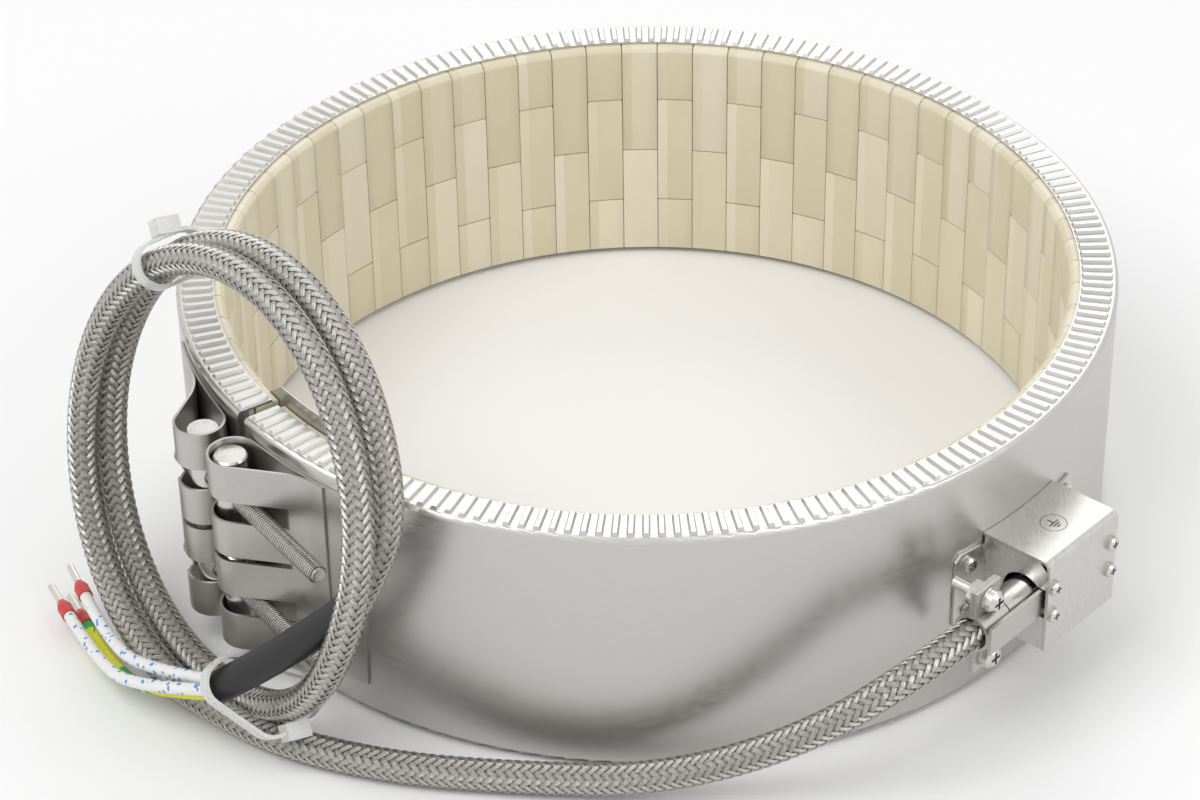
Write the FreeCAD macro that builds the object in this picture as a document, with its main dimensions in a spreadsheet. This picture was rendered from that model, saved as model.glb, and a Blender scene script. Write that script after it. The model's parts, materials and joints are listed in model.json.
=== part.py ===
import FreeCAD, Part
import math
import os
import Sketcher

# Ceramic band heater: a split ring of ceramic tiles in a ribbed steel shell, drawn
# together by two clamp bolts, with a terminal box and a braided supply cable.
# Frame: origin on the ring axis in the plane of the lower edge, +Z up, millimetres.

doc = FreeCAD.newDocument("band_heater")
Vector = FreeCAD.Vector
Rotation = FreeCAD.Rotation
Placement = FreeCAD.Placement

# ---------------------------------------------------------------- driving dimensions
SIZES = [
    ("bore_diameter", 280, "inside diameter of the tile ring"),
    ("band_height", 90, "height over the ribs"),
    ("ring_build", 16, "radial thickness from bore to shell"),
    ("gap_width", 4, "opening between the two ends"),
    ("clamp_angle", 214.5, "direction of the gap, degrees from +X"),
    ("shell_sheet", 0.8, "sheet of the shell"),
    ("flange_width", 12.5, "inward flange, measured from the outside"),
    ("rim_radius", 1.6, "bend between wall and flange"),
    ("hem_depth", 4, "shell edge folded in at the gap"),
    ("rib_rise", 1, "height of the pressed ribs"),
    ("rib_width", 2.5, "width of a rib at its foot"),
    ("rib_slope", 0.55, "run-in of a rib's sides"),
    ("rib_margin", 1.9, "plain edge outside the ribs"),
    ("ribs_per_column", 3, "ribs over each tile column"),
    ("column_pairs", 34, "pairs of tile columns round the ring"),
    ("tile_depth", 9, "radial depth of a tile"),
    ("tile_joint", 0.2, "play between neighbouring tiles"),
    ("tile_edge", 1.6, "bevel on the free inner edge of an upper end tile"),
    ("tile_edge_low", 0.4, "bevel on the free inner edge of a lower end tile"),
    ("stack_gap", 0.1, "play between tiles, element, blanket and shell"),
    ("strip_recess", 1.2, "set-back of the tiles behind the gap strip"),
    ("element_sheet", 0.4, "heating strip thickness"),
    ("element_width", 4, "heating strip width"),
    ("strip_sheet", 0.3, "gap strip thickness"),
    ("strip_rise", 4, "gap strip above the ring"),
    ("strap_sheet", 0.8, "sheet of the clamp straps"),
    ("strap_low", 12, "lower edge of the straps"),
    ("loop_height", 13.5, "height of each strap loop"),
    ("window_height", 8, "window for a clamp bolt"),
    ("slit_height", 2, "slit between the two loop pairs"),
    ("window_reach", 33, "end of the windows from the gap"),
    ("loop_radius", 8, "strap loop, to the middle of the sheet"),
    ("left_loop", 12, "left loop axis from the gap"),
    ("right_loop", 9, "right loop axis from the gap"),
    ("fold_radius", 20, "reverse bend behind a loop"),
    ("fold_angle", 13.5, "where the outer leaf meets the inner leaf"),
    ("leaf_angle", 15.3, "end of the outer leaf"),
    ("plate_angle", 20.1, "end of the inner leaf"),
    ("barrel_diameter", 11, "barrel nut"),
    ("barrel_height", 31, "barrel nut length"),
    ("bolt_diameter", 6, "clamp bolt"),
    ("bolt_length", 75, "clamp bolt under its head"),
    ("bolt_head_diameter", 10, "socket head"),
    ("bolt_head_height", 6, "socket head"),
    ("bolt_socket", 5, "hexagon socket across flats"),
    ("bolt_play", 0.05, "radial play of a bolt in a nut"),
    ("washer_diameter", 11, "washer under the bolt head"),
    ("washer_sheet", 1.6, "washer thickness"),
    ("box_angle", 317.5, "direction of the terminal box"),
    ("box_width", 36, "terminal box across"),
    ("box_low", 27, "underside of the terminal box"),
    ("box_height", 34, "terminal box height"),
    ("box_reach", 24.5, "terminal box out from the shell"),
    ("box_sheet", 1, "sheet of the terminal box"),
    ("tab_angle", 11.2, "end of a fixing tab from the box centre"),
    ("tab_height", 27, "height of a fixing tab"),
    ("tab_screw_angle", 9.2, "fixing screws from the box centre"),
    ("screw_diameter", 3, "small screws"),
    ("screw_head", 5, "small screw head"),
    ("screw_head_height", 1.8, "small screw head"),
    ("cable_diameter", 10.5, "braided cable"),
    ("cable_height", 45, "cable axis at the box"),
    ("cable_play", 0.15, "play round the cable in clip and sleeve"),
    ("sleeve_wall", 0.7, "sleeve at the box entry"),
    ("entry_diameter", 15.2, "round hole for the sleeve"),
    ("clip_width", 12, "saddle clip along the cable"),
    ("clip_sheet", 1.2, "saddle clip sheet"),
    ("clip_offset", 38, "clip centre from the box centre"),
    ("clip_pitch", 21.5, "distance between the clip screws"),
    ("clip_screw", 4, "clip screws"),
    ("clip_head", 7.6, "clip screw head"),
    ("clip_head_height", 3.2, "clip screw head"),
    ("coil_radius", 72, "middle of the coiled cable"),
    ("coil_lean", 15.3, "lean of the coil towards the ring, degrees"),
    ("coil_yaw", 5, "turn of the coil away from the band, degrees"),
    ("coil_side", 10, "coil centre from the gap, along the band"),
    ("coil_out", 162, "centre of the inner turn from the ring axis"),
    ("wire_diameter", 4, "insulated wire"),
    ("shrink_diameter", 11, "heat-shrink boot"),
]
sheet = doc.addObject("Spreadsheet::Sheet", "sizes")
for row, (alias, value, note) in enumerate(SIZES, 1):
    sheet.set(f"A{row}", note)
    sheet.set(f"B{row}", str(value))
    sheet.setAlias(f"B{row}", alias)
doc.recompute()


def size(alias):
    """Value of one cell of the sheet."""
    return float(sheet.get(alias))


# Lengths that several pieces share, as expressions on the sheet.
BORE = "(sizes.bore_diameter / 2)"
OUTER = f"({BORE} + sizes.ring_build)"
TILE_BACK = f"({BORE} + sizes.tile_depth)"
COLUMNS = "(2 * sizes.column_pairs)"
GAP_ANGLE = f"(2 * asin(sizes.gap_width / 2 / {OUTER}))"
PITCH = f"((360 deg - {GAP_ANGLE}) / {COLUMNS})"
FLANGE_LEVEL = "(sizes.band_height / 2 - sizes.rib_rise)"
INNER_LEVEL = f"({FLANGE_LEVEL} - sizes.shell_sheet)"
TILE_TOP = f"({INNER_LEVEL} - sizes.stack_gap)"
LOOP_AXIS = f"({OUTER} + sizes.stack_gap + sizes.loop_radius + sizes.strap_sheet / 2)"
BOX_FRONT = f"({OUTER} + sizes.box_reach)"
CLIP_INSIDE = "(sizes.cable_diameter / 2 + sizes.cable_play)"
SLEEVE_OUTSIDE = f"({CLIP_INSIDE} + sizes.sleeve_wall)"
CABLE_AXIS = (f"({BOX_FRONT} - 2 * sizes.box_sheet - 3 * sizes.stack_gap"
              f" - sizes.clip_sheet - {SLEEVE_OUTSIDE})")

outer_radius = size("bore_diameter") / 2 + size("ring_build")
gap_degrees = 2 * math.degrees(math.asin(size("gap_width") / 2 / outer_radius))
columns = int(2 * size("column_pairs"))
pitch_degrees = (360 - gap_degrees) / columns


# ---------------------------------------------------------------- modelling helpers
def origin_feature(body, role):
    """One of a body's own origin planes or axes."""
    return [f for f in body.Origin.OriginFeatures if f.Role == role][0]


def new_body(name, angle="0 deg", level="0 mm"):
    """A body turned about the ring axis and lifted to a level."""
    body = doc.addObject("PartDesign::Body", name)
    body.Label = name
    body.AllowCompound = True
    body.Placement = Placement(Vector(0, 0, 0), Rotation(Vector(0, 0, 1), 1))
    body.setExpression("Placement.Rotation.Angle", angle)
    body.setExpression("Placement.Base.z", level)
    return body


def new_sketch(body, name, role, depth="0 mm", turn=None):
    """A sketch on an origin plane, shifted along its normal or turned about Z."""
    sketch = body.newObject("Sketcher::SketchObject", name)
    sketch.AttachmentSupport = [(origin_feature(body, role), "")]
    sketch.MapMode = "FlatFace"
    if turn is not None:
        sketch.AttachmentOffset = Placement(Vector(0, 0, 0), Rotation(Vector(0, 1, 0), 1))
        sketch.setExpression("AttachmentOffset.Rotation.Angle", turn)
    sketch.setExpression("AttachmentOffset.Base.z", depth)
    return sketch


def bind_point(sketch, edge, end, x, y, near=(1.0, 1.0)):
    """Hold one end of a sketch edge at two expressions from the origin, from a first guess."""
    for kind, value, guess in (("DistanceX", x, near[0]), ("DistanceY", y, near[1])):
        index = sketch.addConstraint(Sketcher.Constraint(kind, -1, 1, edge, end, guess))
        sketch.setExpression(f"Constraints[{index}]", value)


def polygon(body, name, role, corners, depth="0 mm", turn=None):
    """A closed outline of straight edges through corners given as expressions."""
    sketch = new_sketch(body, name, role, depth, turn)
    count = len(corners)
    start = [Vector(math.cos(2 * math.pi * k / count), math.sin(2 * math.pi * k / count), 0)
             for k in range(count)]
    for k in range(count):
        sketch.addGeometry(Part.LineSegment(start[k], start[(k + 1) % count]))
    for k in range(count):
        sketch.addConstraint(Sketcher.Constraint("Coincident", k, 2, (k + 1) % count, 1))
    for k, (x, y) in enumerate(corners):
        bind_point(sketch, k, 1, x, y)
    return sketch


def rectangle(body, name, role, x_low, x_high, y_low, y_high, depth="0 mm", turn=None):
    corners = [(x_low, y_low), (x_high, y_low), (x_high, y_high), (x_low, y_high)]
    return polygon(body, name, role, corners, depth, turn)


def circle(body, name, role, x, y, diameter, depth="0 mm", turn=None):
    sketch = new_sketch(body, name, role, depth, turn)
    sketch.addGeometry(Part.Circle(Vector(0, 0, 0), Vector(0, 0, 1), 1))
    bind_point(sketch, 0, 3, x, y)
    index = sketch.addConstraint(Sketcher.Constraint("Diameter", 0, 1.0))
    sketch.setExpression(f"Constraints[{index}]", diameter)
    return sketch


def slot(body, name, role, side, x_start, x_end, y, height, depth="0 mm"):
    """A window along x whose far end is rounded by short flats; side is 1 or -1."""
    corners = [(x_start, f"{y} - {height} / 2")]
    for angle in range(-90, 91, 30):
        corners.append((f"{x_end} + {side} * {height} / 2 * cos({angle} deg)",
                        f"{y} + {height} / 2 * sin({angle} deg)"))
    corners.append((x_start, f"{y} + {height} / 2"))
    return polygon(body, name, role, corners, depth)


def pad(body, name, sketch, length, middle=False, reverse=False):
    feature = body.newObject("PartDesign::Pad", name)
    feature.Profile = sketch
    feature.setExpression("Length", length)
    feature.Midplane = middle
    feature.Reversed = reverse
    return feature


def cut(body, name, sketch, length=None, middle=False, reverse=False):
    """A pocket that has to take material away."""
    doc.recompute()
    before = body.Shape.Volume
    feature = body.newObject("PartDesign::Pocket", name)
    feature.Profile = sketch
    if length is None:
        feature.Type = "ThroughAll"
    else:
        feature.setExpression("Length", length)
    feature.Midplane = middle
    feature.Reversed = reverse
    doc.recompute()
    if feature.Shape.isNull() or feature.Shape.Volume > before - 1e-6:
        raise RuntimeError(f"{body.Label}: {name} takes nothing away")
    return feature


def revolve(body, name, sketch, angle="360 deg", axis="V_Axis", middle=False):
    feature = body.newObject("PartDesign::Revolution", name)
    feature.Profile = sketch
    feature.ReferenceAxis = (sketch, [axis])
    feature.setExpression("Angle", angle)
    feature.Midplane = middle
    return feature


def around(body, name, features, count, step, whole=False):
    """Copies of features, or of the whole body, round the ring axis."""
    pattern = body.newObject("PartDesign::PolarPattern", name)
    if whole:
        pattern.TransformMode = "Whole shape"
    else:
        pattern.Originals = features
    pattern.Axis = (origin_feature(body, "Z_Axis"), [""])
    pattern.setExpression("Occurrences", count)
    pattern.setExpression("Angle", f"({count} - 1) * {step}")
    pattern.Refine = False
    body.Tip = pattern
    return pattern


def bevel(body, name, base, edges, width, kind="Chamfer"):
    """A chamfer or fillet on the edges that a test picks from a feature's shape."""
    doc.recompute()
    picked = [f"Edge{i}" for i, edge in enumerate(base.Shape.Edges, 1) if edges(edge)]
    if not picked:
        raise RuntimeError(f"{body.Label}: {name} finds no edge")
    feature = body.newObject(f"PartDesign::{kind}", name)
    feature.Base = (base, picked)
    feature.setExpression("Size" if kind == "Chamfer" else "Radius", width)
    return feature


def on_level(edge, level):
    box = edge.BoundBox
    return abs(box.ZMin - level) < 1e-4 and abs(box.ZMax - level) < 1e-4


# ---------------------------------------------------------------- ring
def make_shell():
    """Split sheet ring: wall, ribbed flanges turned inwards, hems at the gap."""
    body = new_body("shell", "(sizes.clamp_angle - 180) * 1 deg", "sizes.band_height / 2")
    lip = f"({OUTER} - sizes.flange_width)"
    inside = f"({OUTER} - sizes.shell_sheet)"
    profile = polygon(body, "shell_profile", "XZ_Plane", [
        (OUTER, f"-{FLANGE_LEVEL}"), (OUTER, FLANGE_LEVEL), (lip, FLANGE_LEVEL),
        (lip, INNER_LEVEL), (inside, INNER_LEVEL), (inside, f"-{INNER_LEVEL}"),
        (lip, f"-{INNER_LEVEL}"), (lip, f"-{FLANGE_LEVEL}")])
    wall = revolve(body, "shell_wall", profile, f"360 deg - {GAP_ANGLE}", middle=True)
    level = size("band_height") / 2 - size("rib_rise")
    bevel(body, "shell_rim", wall,
          lambda edge: abs(abs(edge.BoundBox.ZMin) - level) < 1e-4
          and edge.BoundBox.ZLength < 1e-4
          and edge.BoundBox.XMax > outer_radius - 1e-4,
          "sizes.rim_radius", "Fillet")
    for side in (1, -1):
        turn = f"{side} * (180 deg - {GAP_ANGLE} / 2)"
        hem = rectangle(body, f"hem_profile_{'a' if side > 0 else 'b'}", "XY_Plane",
                        f"{OUTER} - sizes.hem_depth", f"{OUTER} - sizes.shell_sheet / 2",
                        f"{-side} * sizes.shell_sheet", "0")
        hem.AttachmentOffset = Placement(Vector(0, 0, 0), Rotation(Vector(0, 0, 1), 1))
        hem.setExpression("AttachmentOffset.Rotation.Angle", turn)
        pad(body, f"hem_{'a' if side > 0 else 'b'}", hem,
            f"2 * {INNER_LEVEL} + sizes.shell_sheet", middle=True)
    box_turn = "(sizes.box_angle - sizes.clamp_angle + 180) * 1 deg"
    for k, (offset, level_in_box) in enumerate(tab_screw_places()):
        hole = circle(body, f"tab_hole_sketch_{k}", "YZ_Plane", "0",
                      f"{level_in_box} - sizes.band_height / 2",
                      "sizes.screw_diameter + 2 * sizes.stack_gap",
                      turn=f"{box_turn} + {offset}")
        cut(body, f"tab_hole_{k}", hole, reverse=True)
    for k, offset in enumerate(LEAD_OFFSETS):
        hole = circle(body, f"lead_hole_sketch_{k}", "YZ_Plane", offset,
                      "sizes.cable_height - sizes.band_height / 2", "4", turn=box_turn)
        cut(body, f"lead_hole_{k}", hole, reverse=True)
    ribs = []
    start = f"(-180 deg + {GAP_ANGLE} / 2 + {PITCH} / sizes.ribs_per_column / 2)"
    for upper in (True, False):
        rib = body.newObject("PartDesign::AdditiveWedge", "rib_upper" if upper else "rib_lower")
        rib.AttachmentSupport = [(origin_feature(body, "XZ_Plane"), "")]
        rib.MapMode = "FlatFace"
        rib.AttachmentOffset = Placement(Vector(0, 0, 0), Rotation(Vector(0, 1, 0), 1))
        rib.setExpression("AttachmentOffset.Rotation.Angle", start)
        foot, crest = ("", "2") if upper else ("2", "")
        base = FLANGE_LEVEL if upper else f"-{FLANGE_LEVEL}"
        tip = f"({base} + sizes.rib_rise)" if upper else f"({base} - sizes.rib_rise)"
        rib.setExpression("Ymax", base if not upper else tip)
        rib.setExpression("Ymin", tip if not upper else base)
        first = f"{lip} + 0.3"
        last = f"{OUTER} - sizes.rib_margin"
        half = "sizes.rib_width / 2"
        for end, run in ((foot, ""), (crest, "sizes.rib_slope")):
            extra = f" - {run}" if run else ""
            less = f" + {run}" if run else ""
            rib.setExpression(f"X{end}max", last + extra)
            rib.setExpression(f"X{end}min", first + less)
            rib.setExpression(f"Z{end}max", half + extra)
            rib.setExpression(f"Z{end}min", f"-{half}{less}")
        ribs.append(rib)
    doc.recompute()
    around(body, "ribs", ribs, f"{COLUMNS} * sizes.ribs_per_column",
           f"{PITCH} / sizes.ribs_per_column")
    return body


LEAD_OFFSETS = ("-5", "5")


def tab_screw_places():
    """Angle from the box centre and height of the four fixing screws."""
    margin = 4.5
    low = "(sizes.box_low + sizes.box_height / 2 - sizes.tab_height / 2"
    places = []
    for side in ("-", ""):
        for level in (f"{low} + {margin})", f"{low} + sizes.tab_height - {margin})"):
            places.append((f"{side}sizes.tab_screw_angle * 1 deg", level))
    return places


def column_angle(column):
    """Direction of a tile column, counted from the gap."""
    return f"sizes.clamp_angle * 1 deg + {GAP_ANGLE} / 2 + ({column} + 0.5) * {PITCH}"


def tile_plan(body, name, face, depth="0 mm", turn=None):
    """Plan of a tile: a wedge with a flat back and a face on the bore's circle."""
    sketch = new_sketch(body, name, "XY_Plane", depth)
    if turn is not None:
        sketch.AttachmentOffset = Placement(Vector(0, 0, 0), Rotation(Vector(0, 0, 1), 1))
        sketch.setExpression("AttachmentOffset.Rotation.Angle", turn)
        sketch.setExpression("AttachmentOffset.Base.z", depth)
    half_face = f"({face} * sin({PITCH} / 2) - sizes.tile_joint / 2)"
    half_back = f"({TILE_BACK} * tan({PITCH} / 2) - sizes.tile_joint / 2)"
    reach = f"sqrt(({face}) ^ 2 - {half_face} ^ 2)"
    bore = size("bore_diameter") / 2
    back = bore + size("tile_depth")
    half_pitch = math.radians(pitch_degrees / 2)
    near_side = bore * math.sin(half_pitch) - size("tile_joint") / 2
    far_side = back * math.tan(half_pitch) - size("tile_joint") / 2
    turned = math.asin(near_side / bore)
    near = bore * math.cos(turned)
    start = [(near, -near_side), (back, -far_side), (back, far_side), (near, near_side)]
    for k in range(3):
        sketch.addGeometry(Part.LineSegment(Vector(*start[k], 0), Vector(*start[k + 1], 0)))
    face_circle = Part.Circle(Vector(0, 0, 0), Vector(0, 0, 1), bore)
    sketch.addGeometry(Part.ArcOfCircle(face_circle, -turned, turned))
    for k in range(2):
        sketch.addConstraint(Sketcher.Constraint("Coincident", k, 2, k + 1, 1))
    sketch.addConstraint(Sketcher.Constraint("Coincident", 0, 1, 3, 1))
    sketch.addConstraint(Sketcher.Constraint("Coincident", 2, 2, 3, 2))
    bind_point(sketch, 0, 1, reach, f"-{half_face}", start[0])
    bind_point(sketch, 1, 1, TILE_BACK, f"-{half_back}", start[1])
    bind_point(sketch, 2, 1, TILE_BACK, half_back, start[2])
    bind_point(sketch, 2, 2, reach, half_face, start[3])
    sketch.addConstraint(Sketcher.Constraint("PointOnObject", 3, 3, -2))
    return sketch


HALF_TILE = f"({TILE_TOP} / 2 - sizes.tile_joint / 2)"
LONG_TILE = f"({TILE_TOP} - sizes.tile_joint / 2)"
MIDDLE_TILE = f"({TILE_TOP} - sizes.tile_joint)"


def make_tile_row(name, first, count, height, upper):
    """End tiles of every second column, with the free inner edge bevelled."""
    body = new_body(name, column_angle(first), "sizes.band_height / 2")
    outline = tile_plan(body, f"{name}_plan", BORE, f"{TILE_TOP}" if upper else f"-{TILE_TOP}")
    block = pad(body, f"{name}_block", outline, height, reverse=upper)
    doc.recompute()
    level = size("band_height") / 2 - size("rib_rise") - size("shell_sheet") - size("stack_gap")
    level = level if upper else -level
    inner = size("bore_diameter") / 2
    bevel(body, f"{name}_edge", block,
          lambda edge: all(abs(end.Z - level) < 1e-3 and end.X < inner + 0.1
                           for end in edge.Vertexes),
          "sizes.tile_edge" if upper else "sizes.tile_edge_low")
    doc.recompute()
    around(body, f"{name}_ring", None, str(count), f"2 * {PITCH}", whole=True)
    return body


def make_tiles():
    """Tiles in running bond: two long tiles in one column, half-long-half in the next."""
    rows = []
    long_count = int(size("column_pairs")) - 1
    short_count = int(size("column_pairs")) - 2
    for upper in (True, False):
        where = "upper" if upper else "lower"
        rows.append(make_tile_row(f"tiles_long_{where}", 2, long_count, LONG_TILE, upper))
        rows.append(make_tile_row(f"tiles_short_{where}", 3, short_count, HALF_TILE, upper))
    body = new_body("tiles_middle", column_angle(3), "sizes.band_height / 2")
    outline = tile_plan(body, "tiles_middle_plan", BORE)
    block = pad(body, "tiles_middle_block", outline, MIDDLE_TILE, middle=True)
    around(body, "tiles_middle_ring", [block], str(short_count), f"2 * {PITCH}")
    rows.append(body)
    rows.append(make_gap_tiles())
    return rows


def make_gap_tiles():
    """The three columns beside the gap, set back to leave room for the gap strip."""
    body = new_body("tiles_at_gap", "sizes.clamp_angle * 1 deg", "sizes.band_height / 2")
    face = f"({BORE} + sizes.strip_recess)"
    for column in (0, 1, -1):
        angle = (f"{GAP_ANGLE} / 2 + {column + 0.5} * {PITCH}" if column >= 0
                 else f"-({GAP_ANGLE} / 2 + 0.5 * {PITCH})")
        if column == 0:
            courses = ((f"-{TILE_TOP}", LONG_TILE), ("sizes.tile_joint / 2", LONG_TILE))
        else:
            courses = ((f"-{TILE_TOP}", HALF_TILE), (f"-{MIDDLE_TILE} / 2", MIDDLE_TILE),
                       (f"{TILE_TOP} - {HALF_TILE}", HALF_TILE))
        for course, (level, height) in enumerate(courses):
            tag = f"{'left' if column < 0 else 'right' + str(column)}_{course}"
            outline = tile_plan(body, f"gap_tile_plan_{tag}", face, level, angle)
            pad(body, f"gap_tile_{tag}", outline, height)
    return body


def make_element():
    """Resistance strip folded to and fro over the tile backs."""
    body = new_body("heating_element", column_angle(0), "sizes.band_height / 2")
    near = f"({TILE_BACK} + sizes.stack_gap)"
    far = f"({near} + sizes.element_sheet)"
    half = "sizes.element_width / 2"
    reach = f"({TILE_TOP} - 1)"
    leg_plan = rectangle(body, "element_leg_plan", "XY_Plane", near, far, f"-{half}", half)
    leg = pad(body, "element_leg", leg_plan, f"2 * {reach}", middle=True)
    doc.recompute()
    around(body, "element_legs", [leg], COLUMNS, PITCH)
    for tag, first, count in (("top", "0", "sizes.column_pairs"),
                              ("bottom", "1", "sizes.column_pairs - 1")):
        corners = [(near, half), (near, f"{near} * tan({PITCH} / 2)"),
                   (f"{near} * cos({PITCH}) + {half} * sin({PITCH})",
                    f"{near} * sin({PITCH}) - {half} * cos({PITCH})"),
                   (f"{far} * cos({PITCH}) + {half} * sin({PITCH})",
                    f"{far} * sin({PITCH}) - {half} * cos({PITCH})"),
                   (far, f"{far} * tan({PITCH} / 2)"), (far, half)]
        depth = f"{reach} - sizes.element_width" if tag == "top" else f"-{reach}"
        plan = polygon(body, f"element_link_plan_{tag}", "XY_Plane", corners, depth)
        plan.AttachmentOffset = Placement(Vector(0, 0, 0), Rotation(Vector(0, 0, 1), 1))
        plan.setExpression("AttachmentOffset.Rotation.Angle", f"{first} * {PITCH}")
        link = pad(body, f"element_link_{tag}", plan, "sizes.element_width")
        doc.recompute()
        around(body, f"element_links_{tag}", [link], count, f"2 * {PITCH}")
    return body


def make_blanket():
    """Ceramic fibre between the heating strip and the shell."""
    body = new_body("insulation_blanket", "(sizes.clamp_angle - 180) * 1 deg",
                    "sizes.band_height / 2")
    inside = (f"({TILE_BACK} / cos({PITCH} / 2) + 2 * sizes.stack_gap"
              " + sizes.element_sheet)")
    outside = f"({OUTER} - sizes.shell_sheet - sizes.stack_gap)"
    profile = rectangle(body, "blanket_profile", "XZ_Plane", inside, outside,
                        f"-{TILE_TOP}", TILE_TOP)
    hem = f"(2 * asin((sizes.shell_sheet + sizes.stack_gap) / {inside}))"
    revolve(body, "blanket_ring", profile, f"360 deg - {GAP_ANGLE} - {hem}", middle=True)
    for k, offset in enumerate(LEAD_OFFSETS):
        hole = circle(body, f"blanket_hole_sketch_{k}", "YZ_Plane", offset,
                      "sizes.cable_height - sizes.band_height / 2", "4",
                      turn="(sizes.box_angle - sizes.clamp_angle + 180) * 1 deg")
        cut(body, f"blanket_hole_{k}", hole, reverse=True)
    return body


def make_gap_strip():
    """Thin strip that closes the gap inside the bore, narrowed to a point at one end."""
    left_reach = f"({GAP_ANGLE} / 2 + 0.95 * {PITCH})"
    right_reach = f"({GAP_ANGLE} / 2 + 1.9 * {PITCH})"
    body = new_body("gap_strip",
                    f"sizes.clamp_angle * 1 deg + ({right_reach} - {left_reach}) / 2")
    near = f"({BORE} + sizes.strip_recess - sizes.strip_sheet - 2 * sizes.stack_gap)"
    top = "(sizes.band_height + sizes.strip_rise)"
    profile = rectangle(body, "gap_strip_profile", "XZ_Plane", near,
                        f"{near} + sizes.strip_sheet",
                        "sizes.rib_rise + sizes.shell_sheet + sizes.stack_gap", top)
    revolve(body, "gap_strip_sheet", profile, f"{left_reach} + {right_reach}", middle=True)
    half = f"({BORE} * sin(({left_reach} + {right_reach}) / 2))"
    taper = f"({BORE} * {left_reach} * pi / 180 deg)"
    corner = polygon(body, "gap_strip_taper", "YZ_Plane",
                     [(f"-{half} - 1", f"{top} - 3 * sizes.strip_rise"), (f"-{half} - 1", f"{top} + 1"),
                      (f"-{half} + {taper}", f"{top} + 1"), (f"-{half} + {taper}", f"{top} - 0.1")])
    cut(body, "gap_strip_point", corner, reverse=True)
    return body


# ---------------------------------------------------------------- clamp
def direction(degrees):
    angle = math.radians(degrees)
    return Vector(math.cos(angle), math.sin(angle), 0)


def angle_of(vector):
    return math.degrees(math.atan2(vector.y, vector.x))


def arc_about(centre, radius, start, end):
    """Three points of an arc from one direction to another, both in degrees."""
    return [centre + direction(a) * radius for a in (start, (start + end) / 2, end)]


def sketch_curve(points, side):
    """A line or an arc through points, mirrored to the left of the gap if side is -1."""
    points = [Vector(point.x, side * point.y, 0) for point in points]
    if len(points) == 2:
        return Part.LineSegment(*points)
    if (points[1] - points[0]).cross(points[2] - points[1]).z < 0:
        points.reverse()
    return Part.Arc(*points)


def crossing_tangent(first, first_radius, second, second_radius, side):
    """Direction of the tangent points of two circles that it touches from opposite sides."""
    apart = second - first
    turn = math.degrees(math.acos((first_radius + second_radius) / apart.Length))
    return angle_of(apart) + side * turn


def strap_path(loop_offset):
    """Middle line of a strap: along the shell, round the barrel and back over itself."""
    thickness = size("strap_sheet")
    wall = outer_radius + size("stack_gap") + thickness / 2
    second_wall = wall + thickness + size("stack_gap")
    loop = size("loop_radius")
    fold = size("fold_radius")
    centre = Vector(0, 0, 0)
    barrel = Vector(outer_radius + size("stack_gap") + loop + thickness / 2, loop_offset, 0)
    fold_centre = direction(size("fold_angle")) * (second_wall + fold)
    inner = crossing_tangent(centre, wall, barrel, loop, 1)
    outer = crossing_tangent(barrel, loop, fold_centre, fold, -1)
    return [
        arc_about(centre, wall, size("plate_angle"), inner),
        [direction(inner) * wall, barrel - direction(inner) * loop],
        arc_about(barrel, loop, inner + 180, outer + 360),
        [barrel + direction(outer) * loop, fold_centre - direction(outer) * fold],
        arc_about(fold_centre, fold, outer + 180, size("fold_angle") + 180),
        arc_about(centre, second_wall, size("fold_angle"), size("leaf_angle")),
    ]


def make_strap(name, side, loop_offset, rear_window):
    """Folded strap with four loops, cut for the bolts and slit between the pairs."""
    body = new_body(name, "sizes.clamp_angle * 1 deg")
    path = body.newObject("Sketcher::SketchObject", f"{name}_path")
    path.AttachmentSupport = [(origin_feature(body, "XY_Plane"), "")]
    path.MapMode = "FlatFace"
    path.setExpression("AttachmentOffset.Base.z", "sizes.strap_low")
    for points in strap_path(loop_offset):
        path.addGeometry(sketch_curve(points, side))
    half = size("strap_sheet") / 2
    wall = outer_radius + size("stack_gap") + half
    profile = body.newObject("Sketcher::SketchObject", f"{name}_section")
    profile.AttachmentSupport = [(origin_feature(body, "XZ_Plane"), "")]
    profile.MapMode = "FlatFace"
    profile.AttachmentOffset = Placement(Vector(0, 0, 0),
                                         Rotation(Vector(0, 1, 0), side * size("plate_angle")))
    low = size("strap_low")
    high = low + 4 * size("loop_height") + 2 * size("window_height") + size("slit_height")
    corners = [Vector(wall - half, low, 0), Vector(wall + half, low, 0),
               Vector(wall + half, high, 0), Vector(wall - half, high, 0)]
    for k in range(4):
        profile.addGeometry(Part.LineSegment(corners[k], corners[(k + 1) % 4]))
    pipe = body.newObject("PartDesign::AdditivePipe", f"{name}_sheet")
    pipe.Profile = profile
    pipe.Spine = (path, [f"Edge{k + 1}" for k in range(6)])
    doc.recompute()
    inner_leaf = f"{OUTER} + 2 * sizes.stack_gap + sizes.strap_sheet + 0.4"
    reach = f"{side} * sizes.window_reach"
    for tag, level, height in (("lower", BOLT_LEVELS[0], "sizes.window_height"),
                               ("upper", BOLT_LEVELS[1], "sizes.window_height"),
                               ("slit", SLIT_LEVEL, "sizes.slit_height")):
        start_at = f"{-side} * sizes.loop_radius"
        window = slot(body, f"{name}_{tag}_window", "YZ_Plane", side, start_at,
                      f"{reach} - {side} * {height} / 2", level, height, inner_leaf)
        cut(body, f"{name}_{tag}_cut", window, "40", reverse=True)
    if rear_window:
        for tag, level in zip(("lower", "upper"), BOLT_LEVELS):
            window = slot(body, f"{name}_{tag}_rear_window", "YZ_Plane", side,
                          f"{side} * (sizes.left_loop + sizes.loop_radius / 2)",
                          f"{reach} - {side} * {rear_window} / 2", level, rear_window,
                          inner_leaf)
            cut(body, f"{name}_{tag}_rear_cut", window, "40", reverse=True)
    return body


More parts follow.
